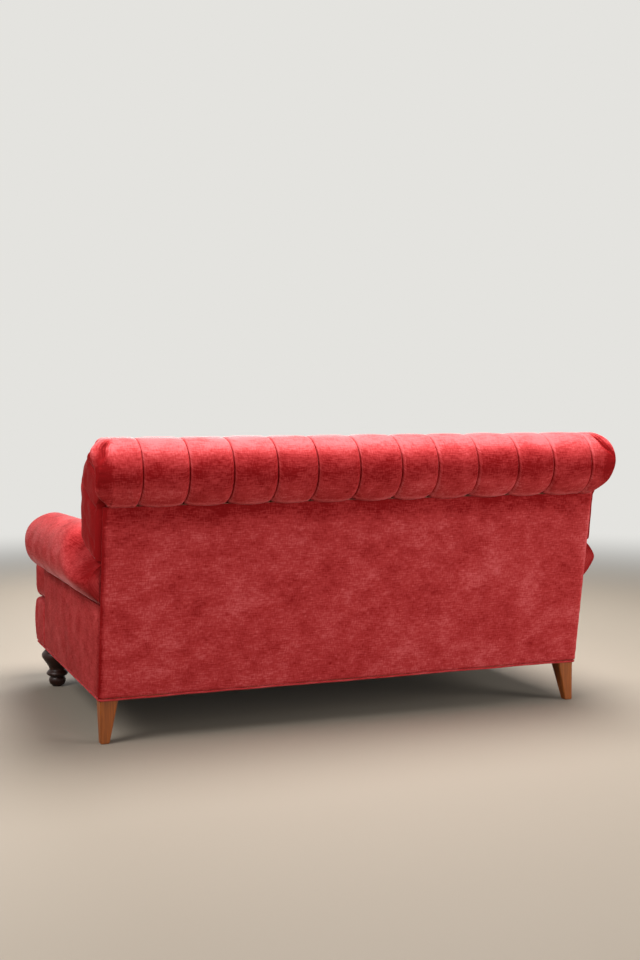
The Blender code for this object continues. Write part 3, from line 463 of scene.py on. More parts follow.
@cache
def steel_material():
    """Drawn spring wire: grey metal with long faint draw marks and a dull film of oil."""
    material, tree, shader = new_material("drawn_spring_steel")
    where = add(tree, "TexCoord").outputs["Object"]
    film = pattern(tree, where, 0.02, 3.0)
    stops = ((0.3, colour("oiled_steel")), (0.7, colour("steel")))
    feed(tree, shader, {
        "Base Color": add(tree, "ValToRGB", {0: film}, stops).outputs[0],
        "Roughness": add(tree, "MapRange", {0: film, 3: 0.28, 4: 0.5}).outputs[0],
        "Metallic": 1.0,
    })
    return material


def add_camera(scene):
    """A camera behind the settee at its left, looking along its own back axis at the view's middle."""
    azimuth, elevation, distance = math.radians(158.355), math.radians(3.542), 4.7207
    middle = np.array((-0.0996, -0.07895, 0.7319))
    level = math.cos(elevation)
    back = np.array((math.sin(azimuth) * level, -math.cos(azimuth) * level, math.sin(elevation)))
    camera = bpy.data.objects.new("camera", bpy.data.cameras.new("camera"))
    camera.data.lens = 50
    camera.location = middle + back * distance
    camera.rotation_euler = (math.pi / 2 - elevation, 0.0, azimuth)
    scene.collection.objects.link(camera)
    scene.camera = camera


def floor_material():
    """Matt studio paint: an even, pale ground that shows soft shadows and no gloss."""
    material, tree, shader = new_material("painted_studio_floor")
    where = add(tree, "TexCoord").outputs["Object"]
    away = add(tree, "VectorMath", {0: where}, operation="LENGTH").outputs["Value"]
    up = add(tree, "MapRange", {0: away, 1: 2.6, 2: 6.0}, interpolation_type="SMOOTHSTEP").outputs[0]
    stops = ((0.0, colour("floor")), (1.0, colour("far_floor")))
    shade = add(tree, "ValToRGB", {0: up}, stops).outputs[0]
    feed(tree, shader, {"Base Color": shade, "Roughness": 0.8})
    # Far off it shows the wall's even colour to the eye, in gloss and through glass, and sheds none of it.
    path = add(tree, "LightPath").outputs
    clear = add(tree, "Math", {0: path["Is Glossy Ray"], 1: path["Is Transmission Ray"]}, operation="MAXIMUM")
    clear = add(tree, "Math", {0: path["Is Camera Ray"], 1: clear.outputs[0]}, operation="MAXIMUM")
    seen = add(tree, "Math", {0: up, 1: clear.outputs[0]}, operation="MULTIPLY")
    wall = add(tree, "Emission", {"Color": colour("backdrop"), "Strength": 1.0})
    both = add(tree, "MixShader", {0: seen.outputs[0], 1: shader.outputs[0], 2: wall.outputs[0]})
    feed(tree, tree.nodes["Material Output"], {"Surface": both.outputs[0]})
    return material


def add_floor(scene):
    """A bowl: its radius grows across the flat floor, then the wall rises on a quarter circle."""
    sides, wall_foot, bend, rim = 64, 7.0, 1.5, 7.0
    turn = np.linspace(0, math.pi / 2, 17)
    radius = np.concatenate([[0.02, 2.0, 4.0], wall_foot + bend * np.sin(turn), [wall_foot + bend]])
    height = np.concatenate([[0.0, 0.0, 0.0], bend * (1 - np.cos(turn)), [rim]])
    around = np.linspace(0, math.tau, sides, endpoint=False)
    rings = stack(radius[:, None] * np.cos(around), radius[:, None] * np.sin(around), height[:, None])
    middle = np.arange(sides)[None, ::-1]
    data = bpy.data.meshes.new("floor")
    faces = grid_quads(len(radius), sides).tolist() + middle.tolist()
    data.from_pydata(rings.reshape(-1, 3).tolist(), [], faces)
    data.flip_normals()
    data.shade_smooth()
    data.materials.append(floor_material())
    floor = bpy.data.objects.new("floor", data)
    scene.collection.objects.link(floor)


class SETTEE_OT_stage(bpy.types.Operator):
    """Plain floor and backdrop, five soft lamps and the camera"""

    bl_idname = "settee.stage"
    bl_label = "Stage"

    # Name, place, diameter in metres and power in watts
    lamps = (
        ("overhead", (-0.4, 0.2, 3.2), 2.3, 215),
        ("brow", (-0.5, -3.2, 2.4), 2.0, 130),
        ("window", (-4.0, 3.6, 1.6), 2.4, 140),
        ("fill", (-0.6, 5.8, 1.2), 2.2, 64),
        ("side", (3.0, 1.2, 2.6), 2.0, 100),
    )

    def execute(self, context):
        scene = context.scene
        scene.view_settings.view_transform = "Standard"
        add_camera(scene)
        add_floor(scene)
        world = scene.world or bpy.data.worlds.new("world")
        scene.world = world
        world.use_nodes = True
        sky = world.node_tree.nodes["Background"]
        feed(world.node_tree, sky, {"Color": colour("daylight"), "Strength": 0.1})
        aim = np.array((0.0, 0.1, 0.5))
        for name, place, width, power in self.lamps:
            light = bpy.data.lights.new(name, "AREA")
            light.shape = "DISK"
            light.size = width
            light.energy = power
            lamp = bpy.data.objects.new(name, light)
            lamp.location = place
            x, y, z = aim - place
            lamp.rotation_euler = (math.atan2(math.hypot(x, y), -z), 0.0, math.atan2(-x, y))
            scene.collection.objects.link(lamp)
        return {"FINISHED"}


class SETTEE_OT_outside_back(bpy.types.Operator):
    """Velvet panel over the back frame, its edges turned in and blind-stitched"""

    bl_idname = "settee.outside_back"
    bl_label = "Outside back"

    def execute(self, context):
        edge, side_fall, billow = sizes().panel_edge, 0.0065, 0.0025
        x = spread(-HALF, HALF, 150, edge)[:, None]
        z = spread(SKIRT, BACK_EDGE, 70, edge)[None, :]
        up = (z - SKIRT) / (BACK_EDGE - SKIRT)
        inward = HALF - np.abs(x)
        fall = rounded(inward, edge) * side_fall / edge
        fall = np.minimum(fall + rounded(z - SKIRT, HEM), DEEPEST)
        swell = billow * (1 - (x / HALF) ** 6) * np.sin(math.pi * up) ** 0.7
        slack = 0.0007 * waves(x, 0.15 * z, 0.16, 3) * np.sin(math.pi * np.clip(up, 0, 1)) ** 0.5
        # Between the stitches of the side seams, 45 mm apart, the cloth stands up a little.
        pull = 0.0006 * np.cos(math.tau * z / 0.045) * bell(inward, 0.02)
        outer = stack(x, back_plane(z) - fall + swell + slack + pull, z)
        inner = stack(x, back_plane(z, COVER), z)
        # Painted light: one turned edge gets a painted highlight. Painted shade lies dark along the other
        # edge, in the corner by the wing, and just under the scroll, where its overhang shades the panel.
        painted_light = 0.22 * bell(HALF + x, 0.010) - 0.6 * bell(HALF - x, 0.009)
        painted_light = painted_light - 0.45 * smooth(BACK_EDGE - 0.09, BACK_EDGE, z)
        upholster(panel("outside_back_cover", outer, inner, painted_light, weft=x), ["outside_back"])
        return {"FINISHED"}


def round_scroll(turn, radius=SCROLL_RADIUS):
    """y and z on a circle round the scroll's middle."""
    return SCROLL + radius * np.stack([np.cos(turn), np.sin(turn)], -1)


def shoulder(t):
    """y and z on the Bezier curve from the scroll's front down to the face of the inside back."""
    start = round_scroll(SHOULDER_START)
    away = np.array((-math.sin(SHOULDER_START), math.cos(SHOULDER_START)))
    end = np.array((FACE_TOP, SEAM))
    controls = (start, start + 0.078 * away, end + (0.010, 0.080), end)
    t = np.asarray(t, float)[..., None]
    weights = ((1 - t) ** 3, 3 * t * (1 - t) ** 2, 3 * t * t * (1 - t), t**3)
    return sum(w * c for w, c in zip(weights, controls))


def scroll_columns():
    """Across the scroll: x of each column, and the sideways shift and depth that a lapped pleat gives it.

    A pleat is a knife fold. The panel nearer the middle ends in a rounded lip and turns under it; the next
    one comes out from below and rises again. offset is a column's distance outwards from the fold before
    folding, and lap and drop say where the fold takes it."""
    offset = np.array((-12, -8, -5, -3.2, -2, -1.2, -0.5, 0.2, 0.9, 1.7, 2.7, 4, 6, 9, 13, 18, 24))
    lap = np.array((-12, -7.8, -4.4, -2, -0.3, 0.9, 1.4, 1.0, 0.2, 0.3, 1.2, 3.0, 5.4, 8.7, 13, 18, 24))
    drop = np.array((0, -0.02, -0.08, -0.18, -0.36, -0.6, -0.85, -1, -1,
                     -0.88, -0.66, -0.44, -0.27, -0.13, -0.05, -0.02, 0))
    columns = []
    for x in PLEATS:
        side = math.copysign(1, x)
        columns.append(np.stack([x + side * offset / 1000, side * (lap - offset) / 1000, drop], 1))
    edges = [-BACK_X] + [v for c in columns for v in (c[:, 0].min(), c[:, 0].max())] + [BACK_X]
    for low, high in zip(edges[::2], edges[1::2]):
        plain = np.linspace(low, high, 12)[1:-1]
        columns.append(np.stack([plain, 0 * plain, 0 * plain], 1))
    columns.append(np.array(((-BACK_X, 0, 0), (BACK_X, 0, 0))))
    columns = np.vstack(columns)
    return columns[np.argsort(columns[:, 0], kind="stable")].T


def rim_reach(turn, side):
    """x of the rim at the scroll's ends, by the angle round the roll. In front it dives under the wing."""
    angles = np.radians((-79, -70, -52, -40, -15, 5, 25, 45, 60, 75, 90, 115, 128, 138, 148, 281))
    left = (0.8035, 0.811, 0.834, 0.846, 0.853, 0.853, 0.860, 0.862,
            0.850, 0.834, 0.824, 0.827, 0.824, 0.812, 0.8035, 0.8035)
    right = (0.8035, 0.806, 0.822, 0.834, 0.848, 0.855, 0.855, 0.850,
             0.843, 0.835, 0.827, 0.828, 0.824, 0.812, 0.8035, 0.8035)
    return through(angles, left if side > 0 else right, turn)


def end_folds(turn, inward):
    """Depth, 0 to 1, of the hollow inside the scroll's rim, and height, -1 to 1, of the folds beside it, by
    the angle round the roll and the distance from the rim. The folds fan out above the hollow's foot."""
    fan = smooth(0.10, 0.75, turn) * (1 - smooth(1.0, 1.4, turn))
    place = 0.009 + 0.026 * smooth(0.1, 0.7, turn)
    hollow = fan * bell(inward - place, 0.005 + 0.006 * fan)
    beside = bell(inward - 0.6 * place - 0.016 * fan, 0.010 + 0.014 * fan)
    return hollow, fan * beside * np.sin(math.tau * (inward - place) / (0.0045 + 0.0035 * fan))


def end_fall(turn, x, side):
    """How far the scroll's surface drops near its ends, at x from the middle: the hollow with its folds, and
    all round the rim small gathers with sharp valleys, shaped by the root of |sin|."""
    inward = rim_reach(turn, side) - x
    hollow, folds = end_folds(turn, inward)
    uneven = turn + 0.05 * np.sin(5 * turn + 1.0) + 0.02 * np.sin(17 * turn)
    valley = 1 - np.sqrt(np.abs(np.sin(sizes().gathers * uneven / 2)))
    return 0.012 * hollow - 0.0013 * folds + 0.0014 * valley * bell(inward - 0.018, 0.012)


class SETTEE_OT_scroll(bpy.types.Operator):
    """Padded scroll over the top of the back, laid in pleats, with gathered ends"""

    bl_idname = "settee.scroll"
    bl_label = "Scroll"

    def painted_light(self, points, painted_fold_light):
        """Painted light and shade of the roll: painted shade across the rear of the roll, near its ends, in
        the hollows and in the folds; painted highlights on its top, its lower lip, the rim of each end and
        the lip of each fold;
        and painted light and shade on the small folds beside the hollows."""
        turn = np.arctan2(points[..., 2] - SCROLL[1], points[..., 1] - SCROLL[0])
        # dark is painted shade across the rear of the roll. rubbed is a painted highlight on its top, and lip
        # is a painted highlight on its lower lip.
        dark = -0.36 * bell(turn + 0.02, 0.50)
        painted_top_highlight = 0.42 * smooth(0.35, 0.95, turn) * smooth(2.6, 1.9, turn)
        lip = 0.3 * bell(turn + 1.20, 0.08)
        x = points[..., 0]
        inward = np.where(x > 0, rim_reach(turn, 1), rim_reach(turn, -1)) - np.abs(x)
        hollow, folds = end_folds(turn, inward)
        # end and hollow are painted shade near the ends. rim is a painted highlight round each end's rim, and
        # folds is painted light and shade on the small folds.
        end = -0.30 * smooth(0.055, 0.03, inward) * smooth(-1.2, 0.2, turn) * smooth(1.5, 0.9, turn)
        rim = 0.45 * bell(inward - 0.004, 0.006) * smooth(0.1, 0.5, turn)
        return dark + painted_top_highlight + lip + end - 0.9 * hollow + 0.25 * folds + rim + painted_fold_light * smooth(2.6, 1.9, turn)

    def relief(self, x, drop, seen):
        """How far the cover stands off the plain roll: pleats, the panels' swell and slack ridges."""
        depth, puff = sizes().pleat_depth, sizes().panel_puff
        pleats = np.array(PLEATS)
        knife = 1 - smooth(SHOULDER_START - 0.3, SHOULDER_START + 0.3, seen)
        foot = bell(seen - SCROLL_START, 0.35)
        outside = np.abs(x) > max(PLEATS)
        place = np.where(outside, 0.0, np.interp(x, PLEATS, np.arange(len(PLEATS))) % 1.0)
        swell = np.where(outside, 0.75, 4 * place * (1 - place))
        from_pleat = x - pleats[np.abs(x - pleats).argmin(1)][:, None]
        groove = -bell(from_pleat, 0.007)
        radial = depth * (knife * drop + (1 - knife) * groove) * (1 + 0.35 * foot)
        radial = radial - puff * (1 - swell) ** 1.5 + 0.0055 * foot * swell
        radial = radial + 0.0006 * waves(x, 0.1 * seen, 0.11, 5)
        # A slack ridge runs beside each pleat and closes on it towards the foot.
        ridge_at = 0.010 + 0.022 * smooth(-1.3, -0.4, seen)
        ridge = bell(np.sign(x) * from_pleat - ridge_at, 0.005) * smooth(0.1, -0.9, seen)
        radial = radial + 0.0014 * ridge
        for side, _ in SIDES:
            near_end = (x * side > 0.7) * (seen <= SHOULDER_START)
            radial = radial - end_fall(seen, np.abs(x), side) * near_end
        return radial

    def cap(self, side, around):
        """Rings of one end: out to the rim, round it, and in to a sunk face that the wing half covers."""
        start, sunk_in = BACK_X + 0.0005, 0.0145
        bend = np.linspace(0, math.pi / 2, 8)[:, None]
        share = np.linspace(0, 1, 30)[:-1, None]
        wall = np.linspace(0, 1, 7)[1:, None]
        face = np.linspace(1, 0.06, 8)[1:, None]
        rim = rim_reach(around, side)
        edge = np.minimum(0.012 + 0.016 * bell(around - 1.65, 0.45), (rim - BACK_X) / 2)
        out = np.concatenate([start + (rim - edge - start) * share, rim - edge + edge * np.sin(bend)])
        level = np.full((len(share), around.shape[1]), SCROLL_RADIUS)
        radius = np.concatenate([level, SCROLL_RADIUS - edge * (1 - np.cos(bend))])
        radius = radius - end_fall(around, out, side) - sizes().panel_puff * 0.125
        inner = np.full_like(around, SCROLL_RADIUS - sunk_in)
        radius = np.concatenate([radius, radius[-1:] + (inner - radius[-1:]) * wall, inner * face])
        y = SCROLL[0] + radius * np.cos(around)
        z = SCROLL[1] + radius * np.sin(around)
        sunk = 0.8032 + 0.016 * smooth(0.004, 0.022, z - wing_top(y))[len(out):]
        sunk = np.minimum(sunk, rim - 0.0002)
        sunk[:len(wall)] = rim + (sunk[:len(wall)] - rim) * smooth(0, 1, wall)
        return stack(side * np.concatenate([out, sunk]), y, z)

    def execute(self, context):
        turn = np.linspace(SCROLL_START, SHOULDER_START, 130)
        t = np.linspace(0, 1, 25)[1:]
        slope = shoulder(t) - shoulder(t - 0.01)
        slope /= np.linalg.norm(slope, axis=1)[:, None]
        arc = round_scroll(turn)
        section = np.vstack([arc, shoulder(t)])
        normal = np.vstack([(arc - SCROLL) / SCROLL_RADIUS, np.stack([slope[:, 1], -slope[:, 0]], 1)])
        # The angle round the roll, which then counts on down the shoulder
        seen = np.concatenate([turn, SHOULDER_START + t])[None, :]
        x, lap, drop = (a[:, None] for a in scroll_columns())
        knife = 1 - smooth(SHOULDER_START - 0.3, SHOULDER_START + 0.3, seen)
        # The pleats are a little uneven behind, and stand in line with the buttons in front.
        even = (np.arange(len(PLEATS)) - (len(PLEATS) - 1) / 2) * PITCH
        lined = np.interp(x, (-BACK_X, *PLEATS, BACK_X), (-BACK_X, *even, BACK_X))
        front = smooth(1.2, 2.4, seen)
        across = x * (1 - front) + lined * front + lap * knife
        body = section + normal * self.relief(x, drop, seen)[..., None]
        body = np.concatenate([across[..., None], body], 2)

        # Inside the back the padding's underside goes round the scroll rail.
        under_z = np.array((SEAM, SCROLL_FOOT, SCROLL_FOOT, 0.712))
        under_y = back_plane(under_z, np.array((PAD_REAR - 0.0001, PAD_REAR - 0.0001, COVER, COVER)))
        walk = np.linspace(0, 3, 12)
        inside = stack(x, np.interp(walk, np.arange(4), under_y), np.interp(walk, np.arange(4), under_z))
        rings = np.concatenate([body, inside], axis=1)

        far = np.linspace(SHOULDER_START, SCROLL_START + math.tau, rings.shape[1] - len(turn) + 1)[1:]
        around = np.concatenate([turn, far])[None, :]
        left = self.cap(1, around)
        rings = np.concatenate([self.cap(-1, around)[::-1], rings, left])
        # Painted highlight on the lip of each lapped pleat, and painted shade deep in its fold.
        painted_fold_light = 0.35 * bell(drop + 0.2, 0.12) * (lap > 0) - 1.2 * np.abs(drop) ** 3
        pads = np.zeros((len(left), 1))
        painted_light = self.painted_light(rings, np.concatenate([pads, painted_fold_light, pads]))
        upholster(skin("back_scroll_cover", rings, weft=rings[..., 0], painted_light=painted_light), ["back_scroll"])
        return {"FINISHED"}


def tail_width(to_back):
    """Share of the arm roll's outer width left at this distance from the outside back: a quarter ellipse."""
    narrowest = 0.35
    run = np.clip(1 - to_back / ARM_TAIL, 0.0, 1.0)
    return narrowest + (1 - narrowest) * np.sqrt(1 - run * run)


def pressed(y):
    """Share of the arm roll's height left at y, where the wing presses on it."""
    places = (0.18, 0.25, 0.30, 0.34, 0.38, 0.43, 0.47, 0.53)
    return through(places, (1.0, 0.95, 0.84, 0.75, 0.69, 0.65, 0.61, 0.60), np.clip(y, 0.18, 0.53))


def wing_floor(y):
    """Height of the wing's lower edge, on the arm."""
    return CREASE + (ARM_TOP + ARM_RISE - CREASE) * pressed(y) + 0.002


def arm_top(y):
    """Height of the arm's top at y, climbing a little to the back."""
    return ARM_TOP + ARM_RISE * np.clip((y - ARM_FRONT) / (FACE_LOW - ARM_FRONT), 0.0, 1.0)


def wing_top(y):
    """Height of the wing's upper edge, where it crosses the end of the scroll."""
    places = (CROSS_FRONT, 0.535, CROSS_REAR)
    return through(places, (0.857, 0.832, 0.812), np.clip(y, CROSS_FRONT, CROSS_REAR))


class SETTEE_OT_arms(bpy.types.Operator):
    """Rolled arms with padded fronts, and the outside arm panels"""

    bl_idname = "settee.arms"
    bl_label = "Arms"

    def roll(self, side):
        """Rings and painted shade of the roll: circles at stations along y, then a tail that dies into the
        back and leans with it. Each ring goes on down the inside arm and closes round the arm's rail."""
        edge = sizes().arm_edge
        frame_x, rail_z, pad_in = HALF - COVER, ARM[1] - 0.020, ARM_INNER + INSIDE_ARM
        ahead = edge * (1 - np.cos(np.linspace(0, math.pi / 2, 10)))
        straight = np.linspace(ARM_FRONT + edge, FACE_LOW, 40)[1:]
        joining = np.linspace(FACE_LOW, REAR - ARM_TAIL, 14)[1:-1]
        bend = np.linspace(math.pi / 2, math.acos(1 - (COVER + 0.0015) / ARM_TAIL), 44)
        tail = REAR - ARM_TAIL * (1 - np.cos(bend))
        y = np.concatenate([ARM_FRONT + 0.002 + ahead, straight, joining, tail])[:, None]
        to_back = REAR - y
        lean = smooth(FACE_LOW, REAR - ARM_TAIL, y)
        inset = np.concatenate([rounded(ahead, edge), np.zeros(len(y) - len(ahead))])[:, None]
        start = math.atan2(CREASE - ARM[1], HALF - ARM[0])
        turn = np.linspace(start, math.pi, 60)[None, :]
        radius = ARM_RADIUS - inset + 0.0009 * waves(y, 0.1 * turn, 0.13, 11 + side)
        rise = (arm_top(y) - ARM_TOP) / 2
        x = ARM[0] + radius * np.cos(turn)
        z = ARM[1] + rise * (1 + np.sin(turn)) + radius * np.sin(turn)
        x = np.where(x > frame_x, frame_x + (x - frame_x) * tail_width(to_back), x)
        # The wing presses down the roll's outer half.
        left = pressed(y + lean * RAKE * (0.600 - LEG_HEIGHT))
        sunk = (1 - left) * (ARM_TOP + ARM_RISE - CREASE) * smooth(0.44, 0.63, z)
        z = z - sunk * smooth(0.785, 0.803, x)
        # Painted shade: the roll is drawn darker over its top and, towards its tail, in the back corner.
        painted_light = -0.22 * smooth(0.2, 0.8, np.sin(turn)) - 0.40 * smooth(0.13, 0.03, to_back)
        # The first points tuck in over the outside arm.
        tucked = turn < start + 0.05
        z = np.where(tucked, CREASE + GAP, z)
        x = np.where(tucked, HALF - HEM - inset, x)
        down = np.linspace(0, 1, 16)[None, 1:]
        wall_x, wall_z = np.repeat(x[:, -1:], 15, 1), z[:, -1:] + (RAIL_TOP - z[:, -1:]) * down
        inside = ((pad_in, RAIL_TOP), (pad_in, rail_z), (frame_x, rail_z), (frame_x, CREASE + GAP))
        x = np.concatenate([x, wall_x] + [np.full_like(y, p[0]) for p in inside], 1)
        z = np.concatenate([z, wall_z] + [np.full_like(y, p[1]) for p in inside], 1)
        # Behind the face of the inside back only the outer half of the arm goes on.
        hidden = smooth(FACE_LOW + 0.085, FACE_LOW + 0.125, y)
        x = np.maximum(x, ARM_INNER + (frame_x + 0.0005 - ARM_INNER) * hidden)
        rings = stack(side * x, y + lean * RAKE * (z - LEG_HEIGHT), z)
        return rings, np.concatenate([painted_light, np.zeros((len(y), rings.shape[1] - painted_light.shape[1]))], 1)

    def front(self, side):
        """Rings of the front's keyhole outline, drawn together towards its middle and swelling forwards."""
        radius = ARM_RADIUS - sizes().arm_edge
        foot_z = RAIL_TOP + 0.006
        turn = np.linspace(-1.18, math.pi, 60)
        outline = ARM + radius * np.stack([np.cos(turn), np.sin(turn)], 1)
        foot = np.array(((ARM[0] - radius, foot_z), (ARM[0] + 0.018, foot_z)))
        left = outline[-1] + (foot[0] - outline[-1]) * np.linspace(0, 1, 20)[1:, None]
        right = foot[1] + (outline[0] - foot[1]) * np.linspace(0, 1, 20)[:-1, None]
        outline = np.vstack([outline, left, right])
        heart = np.array((ARM[0] - 0.010, 0.5 * (ARM[1] + RAIL_TOP) + 0.06))
        share = np.array((1.0, 1.0, 0.99, 0.96, 0.9, 0.7, 0.4, 0.08))[:, None]
        behind = np.array((0.006, -0.001, -0.0025, -0.0036, -0.0044, -0.005, -0.0052, -0.0052))[:, None]
        x = heart[0] + (outline[:, 0] - heart[0]) * share
        z = heart[1] + (outline[:, 1] - heart[1]) * share
        return stack(side * x, ARM_FRONT + behind, z)

    def outside(self, side):
        """Outer face, inner face and painted shade of the outside arm, flat with turned edges, its rear
        leaning.
        """
        along = spread(0.0, 1.0, 60, 0.008)[:, None]
        z = spread(SKIRT, CREASE, 34, 0.007)[None, :]
        rear = back_plane(z, COVER + GAP)
        y = ARM_FRONT + along * (rear - ARM_FRONT)
        fall = rounded(z - SKIRT, HEM) + rounded(rear - y, 0.004) + rounded(y - ARM_FRONT, 0.007)
        up = (z - SKIRT) / (CREASE - SKIRT)
        billow = 0.003 * np.sin(math.pi * along) ** 0.6 * np.sin(math.pi * up) ** 0.7
        billow = billow + 0.0007 * waves(y, z, 0.12, 21 + side) * np.sin(math.pi * along)
        outer = stack(side * (HALF - np.minimum(fall, DEEPEST) + billow), y, z)
        inner = stack(side * (HALF - COVER), y, z)
        # Painted shade: the panel is drawn darker all over, and more so under the arm's lip and along the
        # back corner.
        painted_light = -0.15 - 0.30 * smooth(CREASE - 0.03, CREASE, z) - 0.25 * bell(rear - y, 0.025)
        return outer, inner, painted_light

    def execute(self, context):
        for side, name in SIDES:
            rings, painted_light = self.roll(side)
            upholster(skin(f"arm_cover_{name}", rings, 70, painted_light=painted_light), [f"arm_pad_{name}"])
            rings = self.front(side)
            facing = skin(f"arm_front_{name}", rings, 50, weft=rings[..., 0], warp=rings[..., 2])
            upholster(facing, [f"arm_facing_{name}"])
            outer, inner, painted_light = self.outside(side)
            cover = panel(f"outside_arm_cover_{name}", outer, inner, painted_light, weft=outer[:, :1, 1])
            upholster(cover, [f"outside_arm_{name}"])
        return {"FINISHED"}


class SETTEE_OT_wings(bpy.types.Operator):
    """Covered sides of the back between the arm and the scroll"""

    bl_idname = "settee.wings"
    bl_label = "Wings"

    # Slack folds that run down and back: y and z of a point on each, its slope, half width and depth
    folds = ((0.50, 0.820, 0.24, 0.006, 0.005), (0.445, 0.733, 0.335, 0.008, 0.005),
             (0.44, 0.640, 0.7, 0.012, 0.002))

    def edges(self, count=110):
        """Its two edges, at even steps, from the corner over the arm up to the scroll's front. The rear one
        climbs the corner, goes round inside the scroll's rim and crosses its end."""
        low_z = wing_floor(0.53)
        upright = np.linspace(low_z, BACK_EDGE - 0.004, 14)
        crossing = np.linspace(CROSS_REAR, CROSS_FRONT, 16)
        rear = np.vstack([
            np.stack([back_plane(upright, COVER), upright], 1),
            round_scroll(np.linspace(SCROLL_START + 0.1, -0.02, 22), SCROLL_RADIUS - 0.0165),
            np.stack([crossing, wing_top(crossing)], 1),
            round_scroll(np.linspace(math.radians(149), SHOULDER_START, 8), 1.015 * SCROLL_RADIUS),
        ])
        floor_y = np.linspace(back_plane(low_z, COVER + 0.003), FACE_TOP + 0.005, 24)
        rising = np.linspace(wing_floor(FACE_TOP) + 0.005, SEAM, 12)
        front = np.vstack([
            [(back_plane(low_z, COVER), low_z)],
            np.stack([floor_y, wing_floor(floor_y)], 1),
            np.stack([np.full_like(rising, FACE_TOP + 0.002), rising], 1),
            shoulder(np.linspace(1, 0, 24)),
        ])
        return evenly(rear, count)[0], evenly(front, count)[0]

    def execute(self, context):
        rear, front = self.edges()
        depth, round_off = 0.033, 0.026
        across = spread(0.0, 1.0, 26, 0.14, 7)
        yz = rear[:, None, :] + (front - rear)[:, None, :] * across[None, :, None]
        y, z = yz[..., 0], yz[..., 1]
        rim = np.minimum(across, 1 - across) * np.linalg.norm(front - rear, axis=1)[:, None]
        # It starts deep inside the scroll's rim and at the arm, and high where it joins the outside back.
        start = 0.0045 + 0.0100 * smooth(0.715, 0.69, z) * (across < 0.5)
        bulge = start + (depth - start) * np.sqrt(1 - np.clip(1 - rim / round_off, 0, 1) ** 2)
        bulge = bulge + 0.004 * smooth(0.02, 0.10, rim)
        for y0, z0, slope, width, deep in self.folds:
            bulge = bulge - deep * bell(z - z0 + slope * (y - y0), width) * smooth(0.01, 0.04, rim)
        bulge = bulge + 0.0008 * waves(y, z, 0.07, 31)
        bulge = np.where(rim <= 0, start, bulge)
        # Painted shade: the wing is drawn dark, where the scroll and the arm shade it, with less painted
        # shade along its front edge, where it turns towards the light.
        painted_light = -0.60 + 0.30 * smooth(0.10, 0.0, rim) * (across > 0.5)
        for side, name in SIDES:
            face = stack(side * (BACK_X + GAP + np.maximum(bulge, 0.0)), y, z)
            flat = stack(side * (BACK_X + 0.0042), y, z)
            upholster(panel(f"wing_cover_{name}", face, flat, painted_light), [f"wing_{name}"])
        return {"FINISHED"}


def face_line(z):
    """y of the inside back's face before tufting, leaning back from the seat to the top row."""
    low = SEAT_EDGE + CUSHION - 0.02
    return FACE_LOW + (FACE_TOP - FACE_LOW) * smooth(low, TOP_ROW, z)


def fullness(x, z):
    """0 on a fold, 1 in the middle of a diamond: the root of |sin| times |sin| of the two slanting counts."""
    column = x / PITCH + 6.5
    row = np.clip((TOP_ROW - z) / ROW, 0.0, 2.0)
    return np.sqrt(np.abs(np.sin(math.pi * (column + row / 2)) * np.sin(math.pi * (column - row / 2))))


def button_centres():
    """x and z of the buttons: full rows above and below, and one button fewer in the row between them."""
    columns = (np.arange(12) - 5.5) * PITCH
    centres = [(x, TOP_ROW - row * ROW) for row in (0, 2) for x in columns]
    centres += [(x, TOP_ROW - ROW) for x in columns[:-1] + PITCH / 2]
    return np.array(centres)


